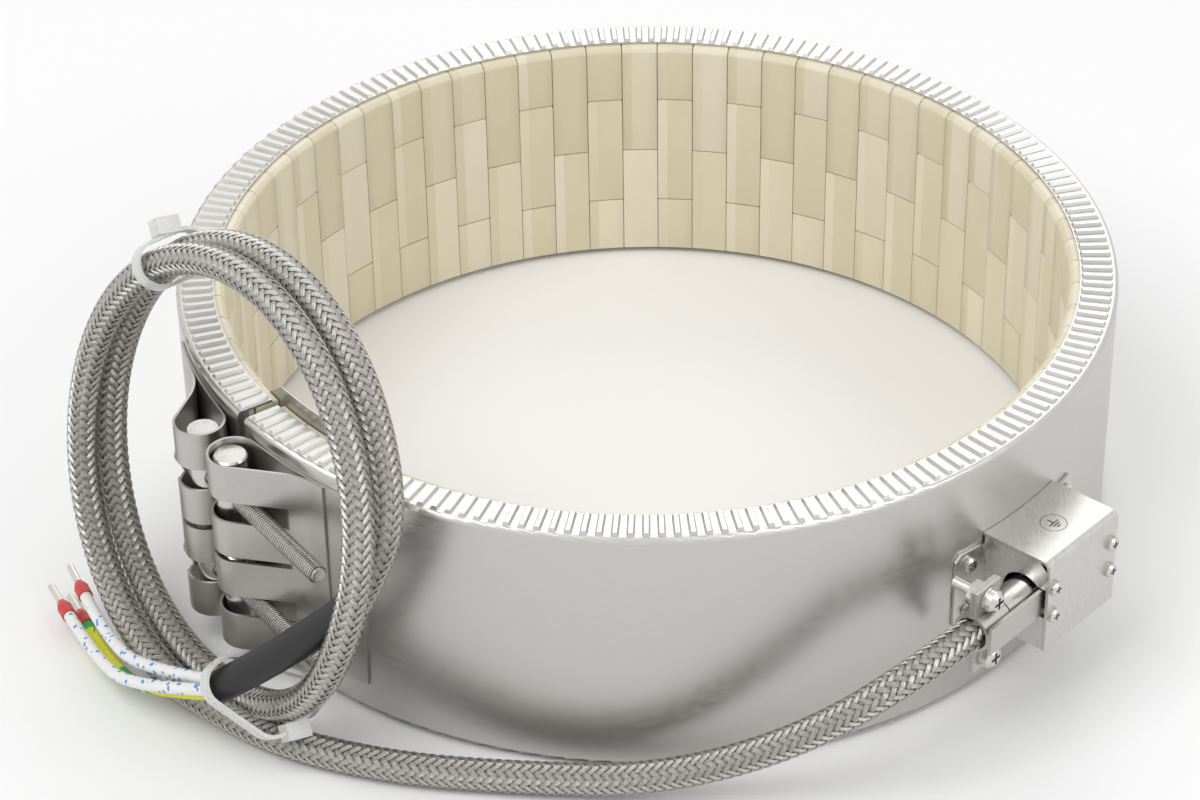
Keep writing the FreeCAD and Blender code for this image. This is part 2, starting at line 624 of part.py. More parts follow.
BOLT_LEVELS = (
    "(sizes.strap_low + sizes.loop_height + sizes.window_height / 2)",
    "(sizes.strap_low + 3 * sizes.loop_height + 1.5 * sizes.window_height"
    " + sizes.slit_height)",
)
SLIT_LEVEL = ("(sizes.strap_low + 2 * sizes.loop_height + sizes.window_height"
              " + sizes.slit_height / 2)")
# A barrel is drawn to the gap side of its loop.
SEAT_SHIFT = ("(sizes.loop_radius - sizes.strap_sheet / 2 - sizes.barrel_diameter / 2"
              " - sizes.stack_gap)")
LEFT_BARREL = f"(sizes.left_loop - {SEAT_SHIFT})"
RIGHT_BARREL = f"(sizes.right_loop - {SEAT_SHIFT})"
FLAT_DEPTH = "0.5"
HEAD_SEAT = f"({LEFT_BARREL} + sizes.barrel_diameter / 2 - {FLAT_DEPTH})"


def clamp_body(name, radial, along, level):
    """A body whose origin lies at a place of the clamp, x outwards and y along the band."""
    body = doc.addObject("PartDesign::Body", name)
    body.Label = name
    body.Placement = Placement(Vector(0, 0, 0), Rotation(Vector(0, 0, 1), 1))
    body.setExpression("Placement.Rotation.Angle", "sizes.clamp_angle * 1 deg")
    turn = "(sizes.clamp_angle * 1 deg)"
    body.setExpression("Placement.Base.x",
                       f"({radial}) * cos({turn}) - ({along}) * sin({turn})")
    body.setExpression("Placement.Base.y",
                       f"({radial}) * sin({turn}) + ({along}) * cos({turn})")
    body.setExpression("Placement.Base.z", level)
    return body


def make_barrel(name, along, level, hole, flat):
    """Barrel nut: a short round bar with a cross hole for the bolt."""
    body = clamp_body(name, LOOP_AXIS, along, level)
    plan = circle(body, f"{name}_plan", "XY_Plane", "0", "0", "sizes.barrel_diameter")
    bar = pad(body, f"{name}_bar", plan, "sizes.barrel_height", middle=True)
    bevel(body, f"{name}_ends", bar, lambda edge: edge.BoundBox.ZLength < 1e-4, "0.5")
    doc.recompute()
    cross = circle(body, f"{name}_cross", "XZ_Plane", "0", "0", hole)
    cut(body, f"{name}_hole", cross, middle=True)
    if flat:
        face = rectangle(body, f"{name}_flat_plan", "XZ_Plane", "-sizes.barrel_diameter",
                         "sizes.barrel_diameter", "-sizes.washer_diameter / 2 - 0.3",
                         "sizes.washer_diameter / 2 + 0.3",
                         f"sizes.barrel_diameter / 2 - {FLAT_DEPTH}")
        cut(body, f"{name}_flat", face, "5", reverse=True)
    return body


def make_bolt(name, level):
    """Socket-head bolt lying along the band, its head at the left."""
    body = clamp_body(name, LOOP_AXIS, f"-{HEAD_SEAT} - sizes.washer_sheet", level)
    shank = "sizes.bolt_diameter / 2"
    head = "sizes.bolt_head_diameter / 2"
    tip = "0.9"
    profile = polygon(body, f"{name}_profile", "XY_Plane", [
        ("0", "-sizes.bolt_head_height"), (f"{head} - 0.6", "-sizes.bolt_head_height"),
        (head, "-sizes.bolt_head_height + 0.6"), (head, "0"), (shank, "0"),
        (shank, f"sizes.bolt_length - {tip}"), (f"{shank} - {tip}", "sizes.bolt_length"),
        ("0", "sizes.bolt_length")])
    revolve(body, f"{name}_turned", profile)
    doc.recompute()
    corner = "(sizes.bolt_socket / 2 / cos(30 deg))"
    hexagon = [(f"{corner} * cos({60 * k} deg)", f"{corner} * sin({60 * k} deg)")
               for k in range(6)]
    socket = polygon(body, f"{name}_socket_plan", "XZ_Plane", hexagon,
                     "sizes.bolt_head_height")
    cut(body, f"{name}_socket", socket, "sizes.bolt_head_height / 2")
    return body


def make_washer(name, level):
    body = clamp_body(name, LOOP_AXIS, f"-{HEAD_SEAT} - sizes.washer_sheet", level)
    profile = rectangle(body, f"{name}_profile", "XY_Plane",
                        "sizes.bolt_diameter / 2 + 0.2", "sizes.washer_diameter / 2",
                        "sizes.bolt_play", "sizes.washer_sheet - sizes.bolt_play")
    revolve(body, f"{name}_ring", profile)
    return body


def make_clamp():
    bodies = [make_strap("strap_left", -1, size("left_loop"), "(sizes.washer_diameter + 1)"),
              make_strap("strap_right", 1, size("right_loop"), None)]
    threaded = "sizes.bolt_diameter + 2 * sizes.bolt_play"
    clearance = "sizes.bolt_diameter + 0.6"
    for tag, level in zip(("lower", "upper"), BOLT_LEVELS):
        bodies.append(make_barrel(f"barrel_left_{tag}", f"-{LEFT_BARREL}", level, clearance,
                                  True))
        bodies.append(make_barrel(f"barrel_right_{tag}", RIGHT_BARREL, level, threaded, False))
        bodies.append(make_bolt(f"clamp_bolt_{tag}", level))
        bodies.append(make_washer(f"washer_{tag}", level))
    return bodies


# ---------------------------------------------------------------- terminal box
def box_body(name, radial="0", along="0", level="sizes.box_low"):
    """A body in the box's own frame: x out of the ring, y along the band."""
    body = doc.addObject("PartDesign::Body", name)
    body.Label = name
    body.Placement = Placement(Vector(0, 0, 0), Rotation(Vector(0, 0, 1), 1))
    body.setExpression("Placement.Rotation.Angle", "sizes.box_angle * 1 deg")
    turn = "(sizes.box_angle * 1 deg)"
    body.setExpression("Placement.Base.x",
                       f"({radial}) * cos({turn}) - ({along}) * sin({turn})")
    body.setExpression("Placement.Base.y",
                       f"({radial}) * sin({turn}) + ({along}) * cos({turn})")
    body.setExpression("Placement.Base.z", level)
    return body


HALF_BOX = "(sizes.box_width / 2)"
WALL_ANGLE = f"asin(({HALF_BOX} - sizes.box_sheet / 2) / ({OUTER} + sizes.stack_gap))"
BOX_BACK = f"(({OUTER} + sizes.stack_gap + sizes.box_sheet / 2) * cos({WALL_ANGLE}))"
WALL_FRONT = f"({BOX_FRONT} - sizes.box_sheet - sizes.stack_gap)"
WALL_TOP = "(sizes.box_height - sizes.box_sheet - sizes.stack_gap)"
CORNER_CUT = "(sizes.rim_radius + 1)"
CLIP_SHELF = f"({BOX_FRONT} - 2 * sizes.box_sheet - 2 * sizes.stack_gap)"
SCREW_HOLE = "sizes.screw_diameter + 2 * sizes.stack_gap"
COVER_SCREW_SIDE = f"({HALF_BOX} - 3)"
COVER_SCREW_LEVELS = ("(sizes.cable_height - sizes.box_low - 5)",
                      "(sizes.cable_height - sizes.box_low + 5.5)")
TAB_LOW = "(sizes.box_height / 2 - sizes.tab_height / 2)"


def make_box_base():
    """Bent sheet: bottom, two side walls and two curved tabs that lie on the shell."""
    body = box_body("box_base")
    bottom = rectangle(body, "base_bottom_plan", "XY_Plane", BOX_BACK, WALL_FRONT,
                       f"-{HALF_BOX}", HALF_BOX)
    pad(body, "base_bottom", bottom, "sizes.box_sheet")
    back = circle(body, "base_back_plan", "XY_Plane", "0", "0",
                  f"2 * ({OUTER} + sizes.stack_gap)")
    cut(body, "base_back", back, "2 * sizes.box_sheet", middle=True)
    for tag, side in (("left", -1), ("right", 1)):
        depth = f"{HALF_BOX} - sizes.box_sheet" if side < 0 else f"-{HALF_BOX}"
        outline = polygon(body, f"base_{tag}_outline", "XZ_Plane", [
            (BOX_BACK, "0"), (WALL_FRONT, "0"), (WALL_FRONT, f"{WALL_TOP} - {CORNER_CUT}"),
            (f"{WALL_FRONT} - {CORNER_CUT}", WALL_TOP), (BOX_BACK, WALL_TOP)], depth)
        pad(body, f"base_{tag}_wall", outline, "sizes.box_sheet")
        near = f"{OUTER} + sizes.stack_gap"
        start = "-sizes.tab_angle * 1 deg" if side < 0 else WALL_ANGLE
        tab = polygon(body, f"tab_{tag}_section", "XZ_Plane", [
            (near, TAB_LOW), (f"{near} + sizes.box_sheet", TAB_LOW),
            (f"{near} + sizes.box_sheet", f"{TAB_LOW} + sizes.tab_height"),
            (near, f"{TAB_LOW} + sizes.tab_height")], turn=start)
        revolve(body, f"tab_{tag}", tab, f"sizes.tab_angle * 1 deg - {WALL_ANGLE}")
        low = f"{side} * ({HALF_BOX} - sizes.box_sheet)"
        flange = rectangle(body, f"base_{tag}_flange_plan", "XY_Plane",
                           f"{WALL_FRONT} - sizes.box_sheet", WALL_FRONT,
                           f"{side} * ({HALF_BOX} - 6.5)", low,
                           f"{COVER_SCREW_LEVELS[0]} - 4")
        pad(body, f"base_{tag}_flange", flange, "18.5")
        edge = f"{side} * ({OUTER} * sin(sizes.tab_angle * 1 deg)"
        corner = polygon(body, f"tab_{tag}_corner_plan", "YZ_Plane", [
            (f"{edge} - 3)", f"{TAB_LOW} + sizes.tab_height + 1"),
            (f"{edge} + 3)", f"{TAB_LOW} + sizes.tab_height + 1"),
            (f"{edge} + 3)", f"{TAB_LOW} + sizes.tab_height - 5")],
            f"{OUTER} * cos(sizes.tab_angle * 1 deg) - 2")
        cut(body, f"tab_{tag}_corner", corner, "6", reverse=True)
        for k, level in enumerate(COVER_SCREW_LEVELS):
            hole = circle(body, f"base_{tag}_screw_plan_{k}", "YZ_Plane",
                          f"{side} * {COVER_SCREW_SIDE}", level, SCREW_HOLE,
                          f"{WALL_FRONT} - 4")
            cut(body, f"base_{tag}_screw_hole_{k}", hole, "6", reverse=True)
    for k, (angle, level) in enumerate(tab_screw_places()):
        hole = circle(body, f"base_tab_hole_plan_{k}", "YZ_Plane", "0",
                      f"{level} - sizes.box_low", SCREW_HOLE, turn=angle)
        cut(body, f"base_tab_hole_{k}", hole, reverse=True)
    entry = circle(body, "base_entry_plan", "XZ_Plane", CABLE_AXIS,
                   "sizes.cable_height - sizes.box_low", "sizes.entry_diameter",
                   f"{HALF_BOX} - 2 * sizes.box_sheet")
    cut(body, "base_entry", entry, "4", reverse=True)
    bracket = rectangle(body, "base_slot_plan", "XZ_Plane", CABLE_AXIS, f"{BOX_FRONT}",
                        "sizes.cable_height - sizes.box_low - 5.4",
                        "sizes.cable_height - sizes.box_low + 5.4",
                        f"{HALF_BOX} - 8")
    cut(body, "base_slot", bracket, "12", reverse=True)
    return body


def make_box_cover():
    """Top and front in one bent sheet, closed against the shell."""
    body = box_body("box_cover")
    level = "sizes.box_height"
    reach = f"({OUTER} - 3)"
    outline = polygon(body, "cover_outline", "XZ_Plane", [
        (BOX_FRONT, "0"), (BOX_FRONT, level), (reach, level),
        (reach, f"{level} - sizes.box_sheet"),
        (f"{BOX_FRONT} - sizes.box_sheet", f"{level} - sizes.box_sheet"),
        (f"{BOX_FRONT} - sizes.box_sheet", "0")])
    plate = pad(body, "cover_sheet", outline, "sizes.box_width", middle=True)
    doc.recompute()
    front = outer_radius + size("box_reach")
    top = size("box_height")
    thick = size("box_sheet")
    outside = bevel(body, "cover_bend", plate,
                    lambda edge: on_level(edge, top) and edge.BoundBox.XMin > front - 1e-3,
                    "sizes.rim_radius + sizes.box_sheet", "Fillet")
    doc.recompute()
    bevel(body, "cover_inner_bend", outside,
          lambda edge: on_level(edge, top - thick)
          and abs(edge.BoundBox.XMin - front + thick) < 1e-3
          and edge.BoundBox.YLength > size("box_width") - 1,
          "sizes.rim_radius", "Fillet")
    shell_plan = circle(body, "cover_back_plan", "XY_Plane", "0", "0",
                        f"2 * ({OUTER} + sizes.stack_gap)")
    cut(body, "cover_back", shell_plan, f"2 * {level} + 2", middle=True)
    for tag, side in (("left", -1), ("right", 1)):
        for k, height in enumerate(COVER_SCREW_LEVELS):
            hole = circle(body, f"cover_{tag}_screw_plan_{k}", "YZ_Plane",
                          f"{side} * {COVER_SCREW_SIDE}", height, SCREW_HOLE,
                          f"{BOX_FRONT} - 4")
            cut(body, f"cover_{tag}_screw_hole_{k}", hole, "6", reverse=True)
    return body


def make_screw(name, angle, radial, along, level, length):
    """Small pan-head screw pointing at the ring axis, its head seated at the origin."""
    body = new_body(name, angle)
    body.AllowCompound = False
    turn = f"({angle})"
    body.setExpression("Placement.Base.x",
                       f"({radial}) * cos({turn}) - ({along}) * sin({turn})")
    body.setExpression("Placement.Base.y",
                       f"({radial}) * sin({turn}) + ({along}) * cos({turn})")
    body.setExpression("Placement.Base.z", level)
    shank = "sizes.screw_diameter / 2"
    head = "sizes.screw_head / 2"
    profile = polygon(body, f"{name}_profile", "XY_Plane", [
        (f"-{length}", "0"), ("sizes.screw_head_height", "0"),
        ("sizes.screw_head_height", f"{head} - 0.7"),
        ("sizes.screw_head_height - 0.7", head), ("0", head), ("0", shank),
        (f"-{length}", shank)])
    revolve(body, f"{name}_turned", profile, axis="H_Axis")
    doc.recompute()
    for k, (wide, high) in enumerate((("0.7", "2.8"), ("2.8", "0.7"))):
        cross = rectangle(body, f"{name}_cross_plan_{k}", "YZ_Plane", f"-{wide} / 2",
                          f"{wide} / 2", f"-{high} / 2", f"{high} / 2",
                          "sizes.screw_head_height")
        cut(body, f"{name}_cross_{k}", cross, "0.8")
    return body


def make_box_screws():
    bodies = []
    box = "(sizes.box_angle * 1 deg)"
    for tag, side in (("left", -1), ("right", 1)):
        for k, level in enumerate(COVER_SCREW_LEVELS):
            bodies.append(make_screw(f"cover_screw_{tag}_{k}", box, BOX_FRONT,
                                     f"{side} * {COVER_SCREW_SIDE}",
                                     f"sizes.box_low + {level}", "4.2"))
    for k, (angle, level) in enumerate(tab_screw_places()):
        bodies.append(make_screw(f"tab_screw_{k}", f"({box} + {angle})",
                                 f"({OUTER} + sizes.box_sheet + 2 * sizes.stack_gap)", "0",
                                 level, "1.9"))
    return bodies


def make_terminals():
    """Ceramic block with two brass clamps, each with a pin to the heating strip."""
    block = box_body("terminal_block")
    near = f"({OUTER} + 4)"
    plan = rectangle(block, "block_plan", "XY_Plane", near, f"{near} + 11", "-10", "11",
                     "sizes.box_sheet")
    pad(block, "block_body", plan, "11")
    bodies = [block]
    for k, offset in enumerate(LEAD_OFFSETS):
        clamp = box_body(f"terminal_{k}", near, offset, "sizes.box_low + sizes.box_sheet + 11")
        plan = rectangle(clamp, f"terminal_plan_{k}", "XY_Plane", "0.5", "10", "-3", "3")
        pad(clamp, f"terminal_body_{k}", plan, "8")
        doc.recompute()
        screw = circle(clamp, f"terminal_screw_plan_{k}", "XY_Plane", "7", "0", "3", "8")
        cut(clamp, f"terminal_screw_hole_{k}", screw, "2")
        bodies.append(clamp)
        lead = box_body(f"lead_pin_{k}", near, offset, "sizes.cable_height")
        inner = f"({near} - {TILE_BACK} - sizes.stack_gap - sizes.element_sheet - 0.3)"
        plan = circle(lead, f"lead_plan_{k}", "YZ_Plane", "0", "0", "2", f"-{inner}")
        pad(lead, f"lead_bar_{k}", plan, f"{inner} + 0.4")
        bodies.append(lead)
    return bodies


def make_sleeve():
    body = box_body("outlet_sleeve", CABLE_AXIS, f"-({HALF_BOX} - 1.4)", "sizes.cable_height")
    profile = rectangle(body, "sleeve_profile", "XY_Plane", CLIP_INSIDE, SLEEVE_OUTSIDE,
                        "-14.5", "0")
    revolve(body, "sleeve_tube", profile)
    return body


CLIP_OUTSIDE = f"({CLIP_INSIDE} + sizes.clip_sheet)"
EAR_FACE = "(sizes.stack_gap / 2)"


def make_clip_half(name, side, bracket):
    """Half of the saddle clip: a half ring with two drilled ears."""
    body = box_body(name, CABLE_AXIS, "-sizes.clip_offset", "sizes.cable_height")
    half = "sizes.clip_width / 2"
    ring = rectangle(body, f"{name}_ring_profile", "XY_Plane", f"{side} * {CLIP_INSIDE}",
                     f"{side} * {CLIP_OUTSIDE}", f"-{half}", half)
    revolve(body, f"{name}_ring", ring, "180 deg", middle=True)
    for tag, low, high in (("lower", -1, 1), ("upper", 1, 1)):
        ear = rectangle(body, f"{name}_{tag}_ear_plan", "XZ_Plane", f"{side} * {EAR_FACE}",
                        f"{side} * ({EAR_FACE} + sizes.clip_sheet)",
                        f"{low} * ({CLIP_INSIDE} + 0.5)",
                        f"{low} * (sizes.clip_pitch / 2 + sizes.clip_head / 2 + 0.8)")
        pad(body, f"{name}_{tag}_ear", ear, "sizes.clip_width", middle=True)
    if bracket:
        plan = rectangle(body, f"{name}_bracket_plan", "XY_Plane",
                         f"{SLEEVE_OUTSIDE} + sizes.stack_gap",
                         f"{SLEEVE_OUTSIDE} + sizes.stack_gap + sizes.clip_sheet",
                         f"-{half}", f"sizes.clip_offset - {HALF_BOX} + 8")
        pad(body, f"{name}_bracket", plan, "10", middle=True)
        for k, level in enumerate(COVER_SCREW_LEVELS):
            hole = circle(body, f"{name}_screw_plan_{k}", "YZ_Plane",
                          f"sizes.clip_offset - {COVER_SCREW_SIDE}",
                          f"sizes.box_low + {level} - sizes.cable_height", SCREW_HOLE)
            cut(body, f"{name}_screw_hole_{k}", hole, "20", reverse=True)
    for tag, low in (("lower", -1), ("upper", 1)):
        hole = circle(body, f"{name}_{tag}_hole_plan", "YZ_Plane", "0",
                      f"{low} * sizes.clip_pitch / 2", "sizes.clip_screw + 0.3")
        cut(body, f"{name}_{tag}_hole", hole, middle=True)
    return body


def make_clip():
    """Saddle clip that holds the cable, with its two screws and nuts."""
    bodies = [make_clip_half("clip_front", 1, True), make_clip_half("clip_back", -1, False)]
    for tag, low in (("lower", -1), ("upper", 1)):
        level = f"sizes.cable_height + {low} * sizes.clip_pitch / 2"
        seat = f"({CABLE_AXIS} + {EAR_FACE} + sizes.clip_sheet + sizes.stack_gap)"
        screw = box_body(f"clip_screw_{tag}", seat, "-sizes.clip_offset", level)
        shank = "sizes.clip_screw / 2"
        head = "sizes.clip_head / 2"
        profile = polygon(screw, f"clip_screw_{tag}_profile", "XY_Plane", [
            ("-13.4", "0"), ("0.9 + sizes.clip_head_height", "0"),
            ("0.9 + sizes.clip_head_height", f"{head} - 1.2"),
            ("sizes.clip_head_height - 0.2", head), ("0.9", head), ("0.9", f"{head} + 0.3"),
            ("0", f"{head} + 0.3"), ("0", shank), ("-12.8", shank), ("-13.4", f"{shank} - 0.6")])
        revolve(screw, f"clip_screw_{tag}_turned", profile, axis="H_Axis")
        doc.recompute()
        for k, (wide, high) in enumerate((("1", "4.4"), ("4.4", "1"))):
            cross = rectangle(screw, f"clip_{tag}_cross_plan_{k}", "YZ_Plane", f"-{wide} / 2",
                              f"{wide} / 2", f"-{high} / 2", f"{high} / 2",
                              "0.9 + sizes.clip_head_height")
            cut(screw, f"clip_{tag}_cross_{k}", cross, "1.5")
        bodies.append(screw)
        back = f"({CABLE_AXIS} - {EAR_FACE} - sizes.clip_sheet - sizes.stack_gap)"
        nut = box_body(f"clip_nut_{tag}", back, "-sizes.clip_offset", level)
        hexagon = [(f"4 * cos({60 * k} deg)", f"4 * sin({60 * k} deg)") for k in range(6)]
        plan = polygon(nut, f"clip_nut_{tag}_plan", "YZ_Plane", hexagon)
        pad(nut, f"clip_nut_{tag}_body", plan, "3.2", reverse=True)
        doc.recompute()
        hole = circle(nut, f"clip_nut_{tag}_hole_plan", "YZ_Plane", "0", "0",
                      "sizes.clip_screw + 2 * sizes.bolt_play")
        cut(nut, f"clip_nut_{tag}_hole", hole, middle=True)
        bodies.append(nut)
    return bodies


# ---------------------------------------------------------------- cable
def at_angle(angle, radial, along, level):
    """Point in a frame turned about the ring axis: outwards, along the band, up."""
    out = direction(angle)
    return Vector(out.x * radial - out.y * along, out.y * radial + out.x * along, level)


def at_clamp(radial, along, level):
    return at_angle(size("clamp_angle"), radial, along, level)


def solid_node(name, shape, placement=None):
    node = doc.addObject("Part::Feature", name)
    node.Label = name
    node.Shape = shape
    node.Placement = placement or Placement()
    return node


def bent_tube(name, route, diameter):
    """Tube along straight runs joined by the largest tangent arcs that they allow."""
    edges = []
    last = route[0]
    for before, corner, after in zip(route, route[1:], route[2:]):
        back = (before - corner).normalize()
        ahead = (after - corner).normalize()
        turn = math.pi - back.getAngle(ahead)
        radius = 0.45 * min((corner - before).Length, (after - corner).Length)
        radius /= math.tan(turn / 2)
        tangent = radius * math.tan(turn / 2)
        print(f"{name}: bend radius {radius:.0f} mm")
        middle = (back + ahead).normalize()
        centre = corner + middle * (radius / math.cos(turn / 2))
        start = corner + back * tangent
        end = corner + ahead * tangent
        edges.append(Part.LineSegment(last, start).toShape())
        edges.append(Part.Arc(start, centre - middle * radius, end).toShape())
        last = end
    edges.append(Part.LineSegment(last, route[-1]).toShape())
    spine = Part.Wire(edges)
    begin = (route[1] - route[0]).normalize()
    section = Part.Wire(Part.Circle(route[0], begin, diameter / 2).toShape())
    tube = spine.makePipeShell([section], True, True)
    expected = math.pi * diameter ** 2 / 4 * spine.Length
    if abs(tube.Volume / expected - 1) > 0.01:
        raise RuntimeError(f"{name}: the tube's volume is off")
    return solid_node(name, tube)


CABLE = size("cable_diameter")
COIL_LEAN = math.radians(size("coil_lean"))
COIL_YAW = math.radians(size("coil_yaw"))
COIL_STEP = (CABLE + 0.3) / math.cos(COIL_LEAN)
COIL_CENTRE_LEVEL = CABLE / 2 + 0.1 + size("coil_radius") * math.cos(COIL_LEAN)


def on_coil(angle, radius, outward):
    """Point of the coil: angle from the gap's right, radius in its plane, step outwards."""
    around_coil = radius * math.cos(math.radians(angle))
    rise = radius * math.sin(math.radians(angle))
    lean_in = -math.sin(COIL_LEAN) * rise + outward
    radial = size("coil_out") - math.sin(COIL_YAW) * around_coil + math.cos(COIL_YAW) * lean_in
    along = size("coil_side") + math.cos(COIL_YAW) * around_coil + math.sin(COIL_YAW) * lean_in
    return at_clamp(radial, along, COIL_CENTRE_LEVEL + math.cos(COIL_LEAN) * rise)


def make_coil():
    """Closed ring round the two turns of the coiled cable, in flat faces."""
    half = CABLE / 2
    side = half / math.cos(COIL_LEAN)
    corner = half * (1 - math.tan(math.radians(22.5)))
    section = [(half, -side + corner), (half, COIL_STEP + side - corner),
               (half - corner, COIL_STEP + side), (corner - half, COIL_STEP + side),
               (-half, COIL_STEP + side - corner), (-half, -side + corner),
               (corner - half, -side), (half - corner, -side)]
    stations = 24
    ring = [[on_coil(360 * k / stations, size("coil_radius") + rise, outward)
             for rise, outward in section] for k in range(stations)]
    faces = []
    for k in range(stations):
        here = ring[k]
        there = ring[(k + 1) % stations]
        for j in range(len(section)):
            i = (j + 1) % len(section)
            wire = Part.makePolygon([here[j], here[i], there[i], there[j], here[j]])
            faces.append(Part.Face(wire))
    solid = Part.Solid(Part.Shell(faces))
    if solid.Volume < 0:
        solid.reverse()
    return solid_node("cable_coil", solid)


def boot_route():
    """The cable's end, which crosses the lower strands in front of them."""
    return [at_clamp(161.5, 74, 64), at_clamp(177, 62, 46), at_clamp(196, 45, 28.5)]


def make_cable():
    """Cable from the box along the floor to the coil, and its boot with three wires."""
    box = size("box_angle")
    axis = outer_radius + size("box_reach") - 2 * size("box_sheet") - 3 * size("stack_gap")
    axis -= size("clip_sheet") + CABLE / 2 + size("cable_play") + size("sleeve_wall")
    level = size("cable_height")
    floor = CABLE / 2 + 0.15
    run = [
        at_angle(box, axis, -20, level),
        at_angle(box, axis, -62, level),
        at_angle(284.5, 178, 0, 24),
        at_angle(270, 170.5, 0, 7.5),
        at_angle(256, 171, 0, floor),
        at_clamp(158, 86, floor),
        at_clamp(182, 52, floor),
        on_coil(-90, size("coil_radius"), COIL_STEP),
    ]
    boot = boot_route()
    boot_end = boot[-1]
    nodes = [bent_tube("cable_run", run, CABLE), make_coil(),
             bent_tube("heat_shrink", boot, size("shrink_diameter"))]
    forward = (boot[2] - boot[1]).normalize()
    sideways = forward.cross(Vector(0, 0, 1)).normalize()
    upward = sideways.cross(forward)
    spread = size("wire_diameter") * 0.62
    wires = {
        "wire_white_upper": (sideways * 0.95 + upward * 0.6,
                             [(204, 14, 19), (204, -12, 13), (198.5, -38, 12.5)]),
        "wire_white_lower": (sideways * -0.95 + upward * 0.6,
                             [(209.5, 15, 15), (209, -12, 8), (205, -38, 7.5)]),
        "wire_earth": (upward * -1.1, [(205, 16, 11.5), (204.5, -10, 4), (200, -36, 2.7)]),
    }
    for name, (shift, places) in wires.items():
        route = [boot_end + shift * spread] + [at_clamp(*place) for place in places]
        nodes.append(bent_tube(name, route, size("wire_diameter")))
        nodes += make_ferrule(name.replace("wire", "ferrule"), route[-1],
                              (route[-1] - route[-2]).normalize())
    return nodes


def make_ferrule(name, start, along):
    """Plastic collar and metal pin pressed on the end of a wire."""
    bodies = []
    parts = (("collar", [("0", "2.45"), ("5", "2.45"), ("8", "1.5"), ("8", "0"), ("0", "0")],
              0.0),
             ("pin", [("0", "1.25"), ("10", "1.25"), ("10", "0"), ("0", "0")], 8.0))
    for tag, corners, shift in parts:
        body = doc.addObject("PartDesign::Body", f"{name}_{tag}")
        body.Label = f"{name}_{tag}"
        body.Placement = Placement(start + along * shift, Rotation(Vector(1, 0, 0), along))
        profile = polygon(body, f"{name}_{tag}_profile", "XY_Plane", corners)
        revolve(body, f"{name}_{tag}_turned", profile, axis="H_Axis")
        bodies.append(body)
    return bodies


def hull_face(centres, radius):
    """Flat outline that wraps circles of one radius, in order round the outside."""
    edges = []
    count = len(centres)
    for k in range(count):
        here = centres[k]
        before = (here - centres[k - 1]).normalize()
        ahead = (centres[(k + 1) % count] - here).normalize()
        out_before = Vector(before.y, -before.x, 0)
        out_ahead = Vector(ahead.y, -ahead.x, 0)
        turn = out_before.getAngle(out_ahead)
        if turn > math.pi - 1e-6:
            middle = before
        else:
            middle = (out_before + out_ahead).normalize()
        edges.append(Part.Arc(here + out_before * radius, here + middle * radius,
                              here + out_ahead * radius).toShape())
        there = centres[(k + 1) % count]
        edges.append(Part.LineSegment(here + out_ahead * radius,
                                      there + out_ahead * radius).toShape())
    return Part.Face(Part.Wire(edges))


def convex(points):
    """The outer ones of some flat points, in order round the outside."""
    points = sorted(points, key=lambda point: (point.x, point.y))
    outline = []
    for chain in (points, points[::-1]):
        start = len(outline)
        for point in chain:
            while (len(outline) >= start + 2 and
                   (outline[-1] - outline[-2]).cross(point - outline[-1]).z <= 0):
                outline.pop()
            outline.append(point)
        outline.pop()
    return outline


def make_tie(name, angle, boot=None):
    """Cable tie: a strap round the strands, and round the boot too, with a square head."""
    width = 4.6
    thick = 1.2
    radius = CABLE / 2 + 1.5
    origin = on_coil(angle, size("coil_radius"), 0)
    rise = (on_coil(angle, size("coil_radius") + 1, 0) - origin).normalize()
    outward = (on_coil(angle, size("coil_radius"), 1) - origin).normalize()
    normal = rise.cross(outward).normalize()
    outward = normal.cross(rise)
    second = on_coil(angle, size("coil_radius"), COIL_STEP) - origin
    centres = [Vector(0, 0, 0), Vector(second.dot(rise), second.dot(outward), 0)]
    head = Vector(radius + 2.5, second.dot(outward) / 2, 0)
    if boot:
        start, end = boot
        run = (end - start).normalize()
        crossing = start + run * ((origin - start).dot(normal) / run.dot(normal)) - origin
        middle = Vector(crossing.dot(rise), crossing.dot(outward), 0)
        slant = Vector(run.dot(rise), run.dot(outward), 0).normalize()
        spread = size("shrink_diameter") / 2 * (1 / abs(run.dot(normal)) - 1)
        centres += [middle + slant * spread, middle - slant * spread]
        head = centres[0] + Vector(radius + 2.5, 4, 0)
    outline = convex(centres)
    strap = hull_face(outline, radius + thick).cut(hull_face(outline, radius))
    strap = strap.extrude(Vector(0, 0, width))
    block = Part.makeBox(5.5, 8, width + 1.6, head + Vector(-2.75, -4, -0.8))
    tie = strap.fuse(block).removeSplitter()
    turned = Rotation(rise, outward, normal, "XYZ")
    return solid_node(name, tie, Placement(origin - normal * width / 2, turned))


def main():
    nodes = [make_shell(), make_element(), make_blanket(), make_gap_strip()]
    nodes += make_tiles()
    nodes += make_clamp()
    nodes += [make_box_base(), make_box_cover(), make_sleeve()]
    nodes += make_box_screws()
    nodes += make_terminals()
    nodes += make_clip()
    nodes += make_cable()
    nodes.append(make_tie("tie_top", 128))
    nodes.append(make_tie("tie_bottom", -52, boot_route()[1:]))
    doc.recompute()
    for item in doc.Objects:
        if "Invalid" in item.State or "Error" in item.State:
            raise RuntimeError(f"{item.Name} failed: {item.State}")
    for node in nodes:
        if node.Shape.isNull() or not node.Shape.isValid() or not node.Shape.Solids:
            raise RuntimeError(f"{node.Label} has no valid solid")
    os.makedirs("parts", exist_ok=True)
    for node in nodes:
        node.Shape.exportStep(f"parts/{node.Label}.step")
    print(f"{len(nodes)} nodes written")


main()
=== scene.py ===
import json
import math

import bpy
import numpy as np
from mathutils import Matrix, Vector

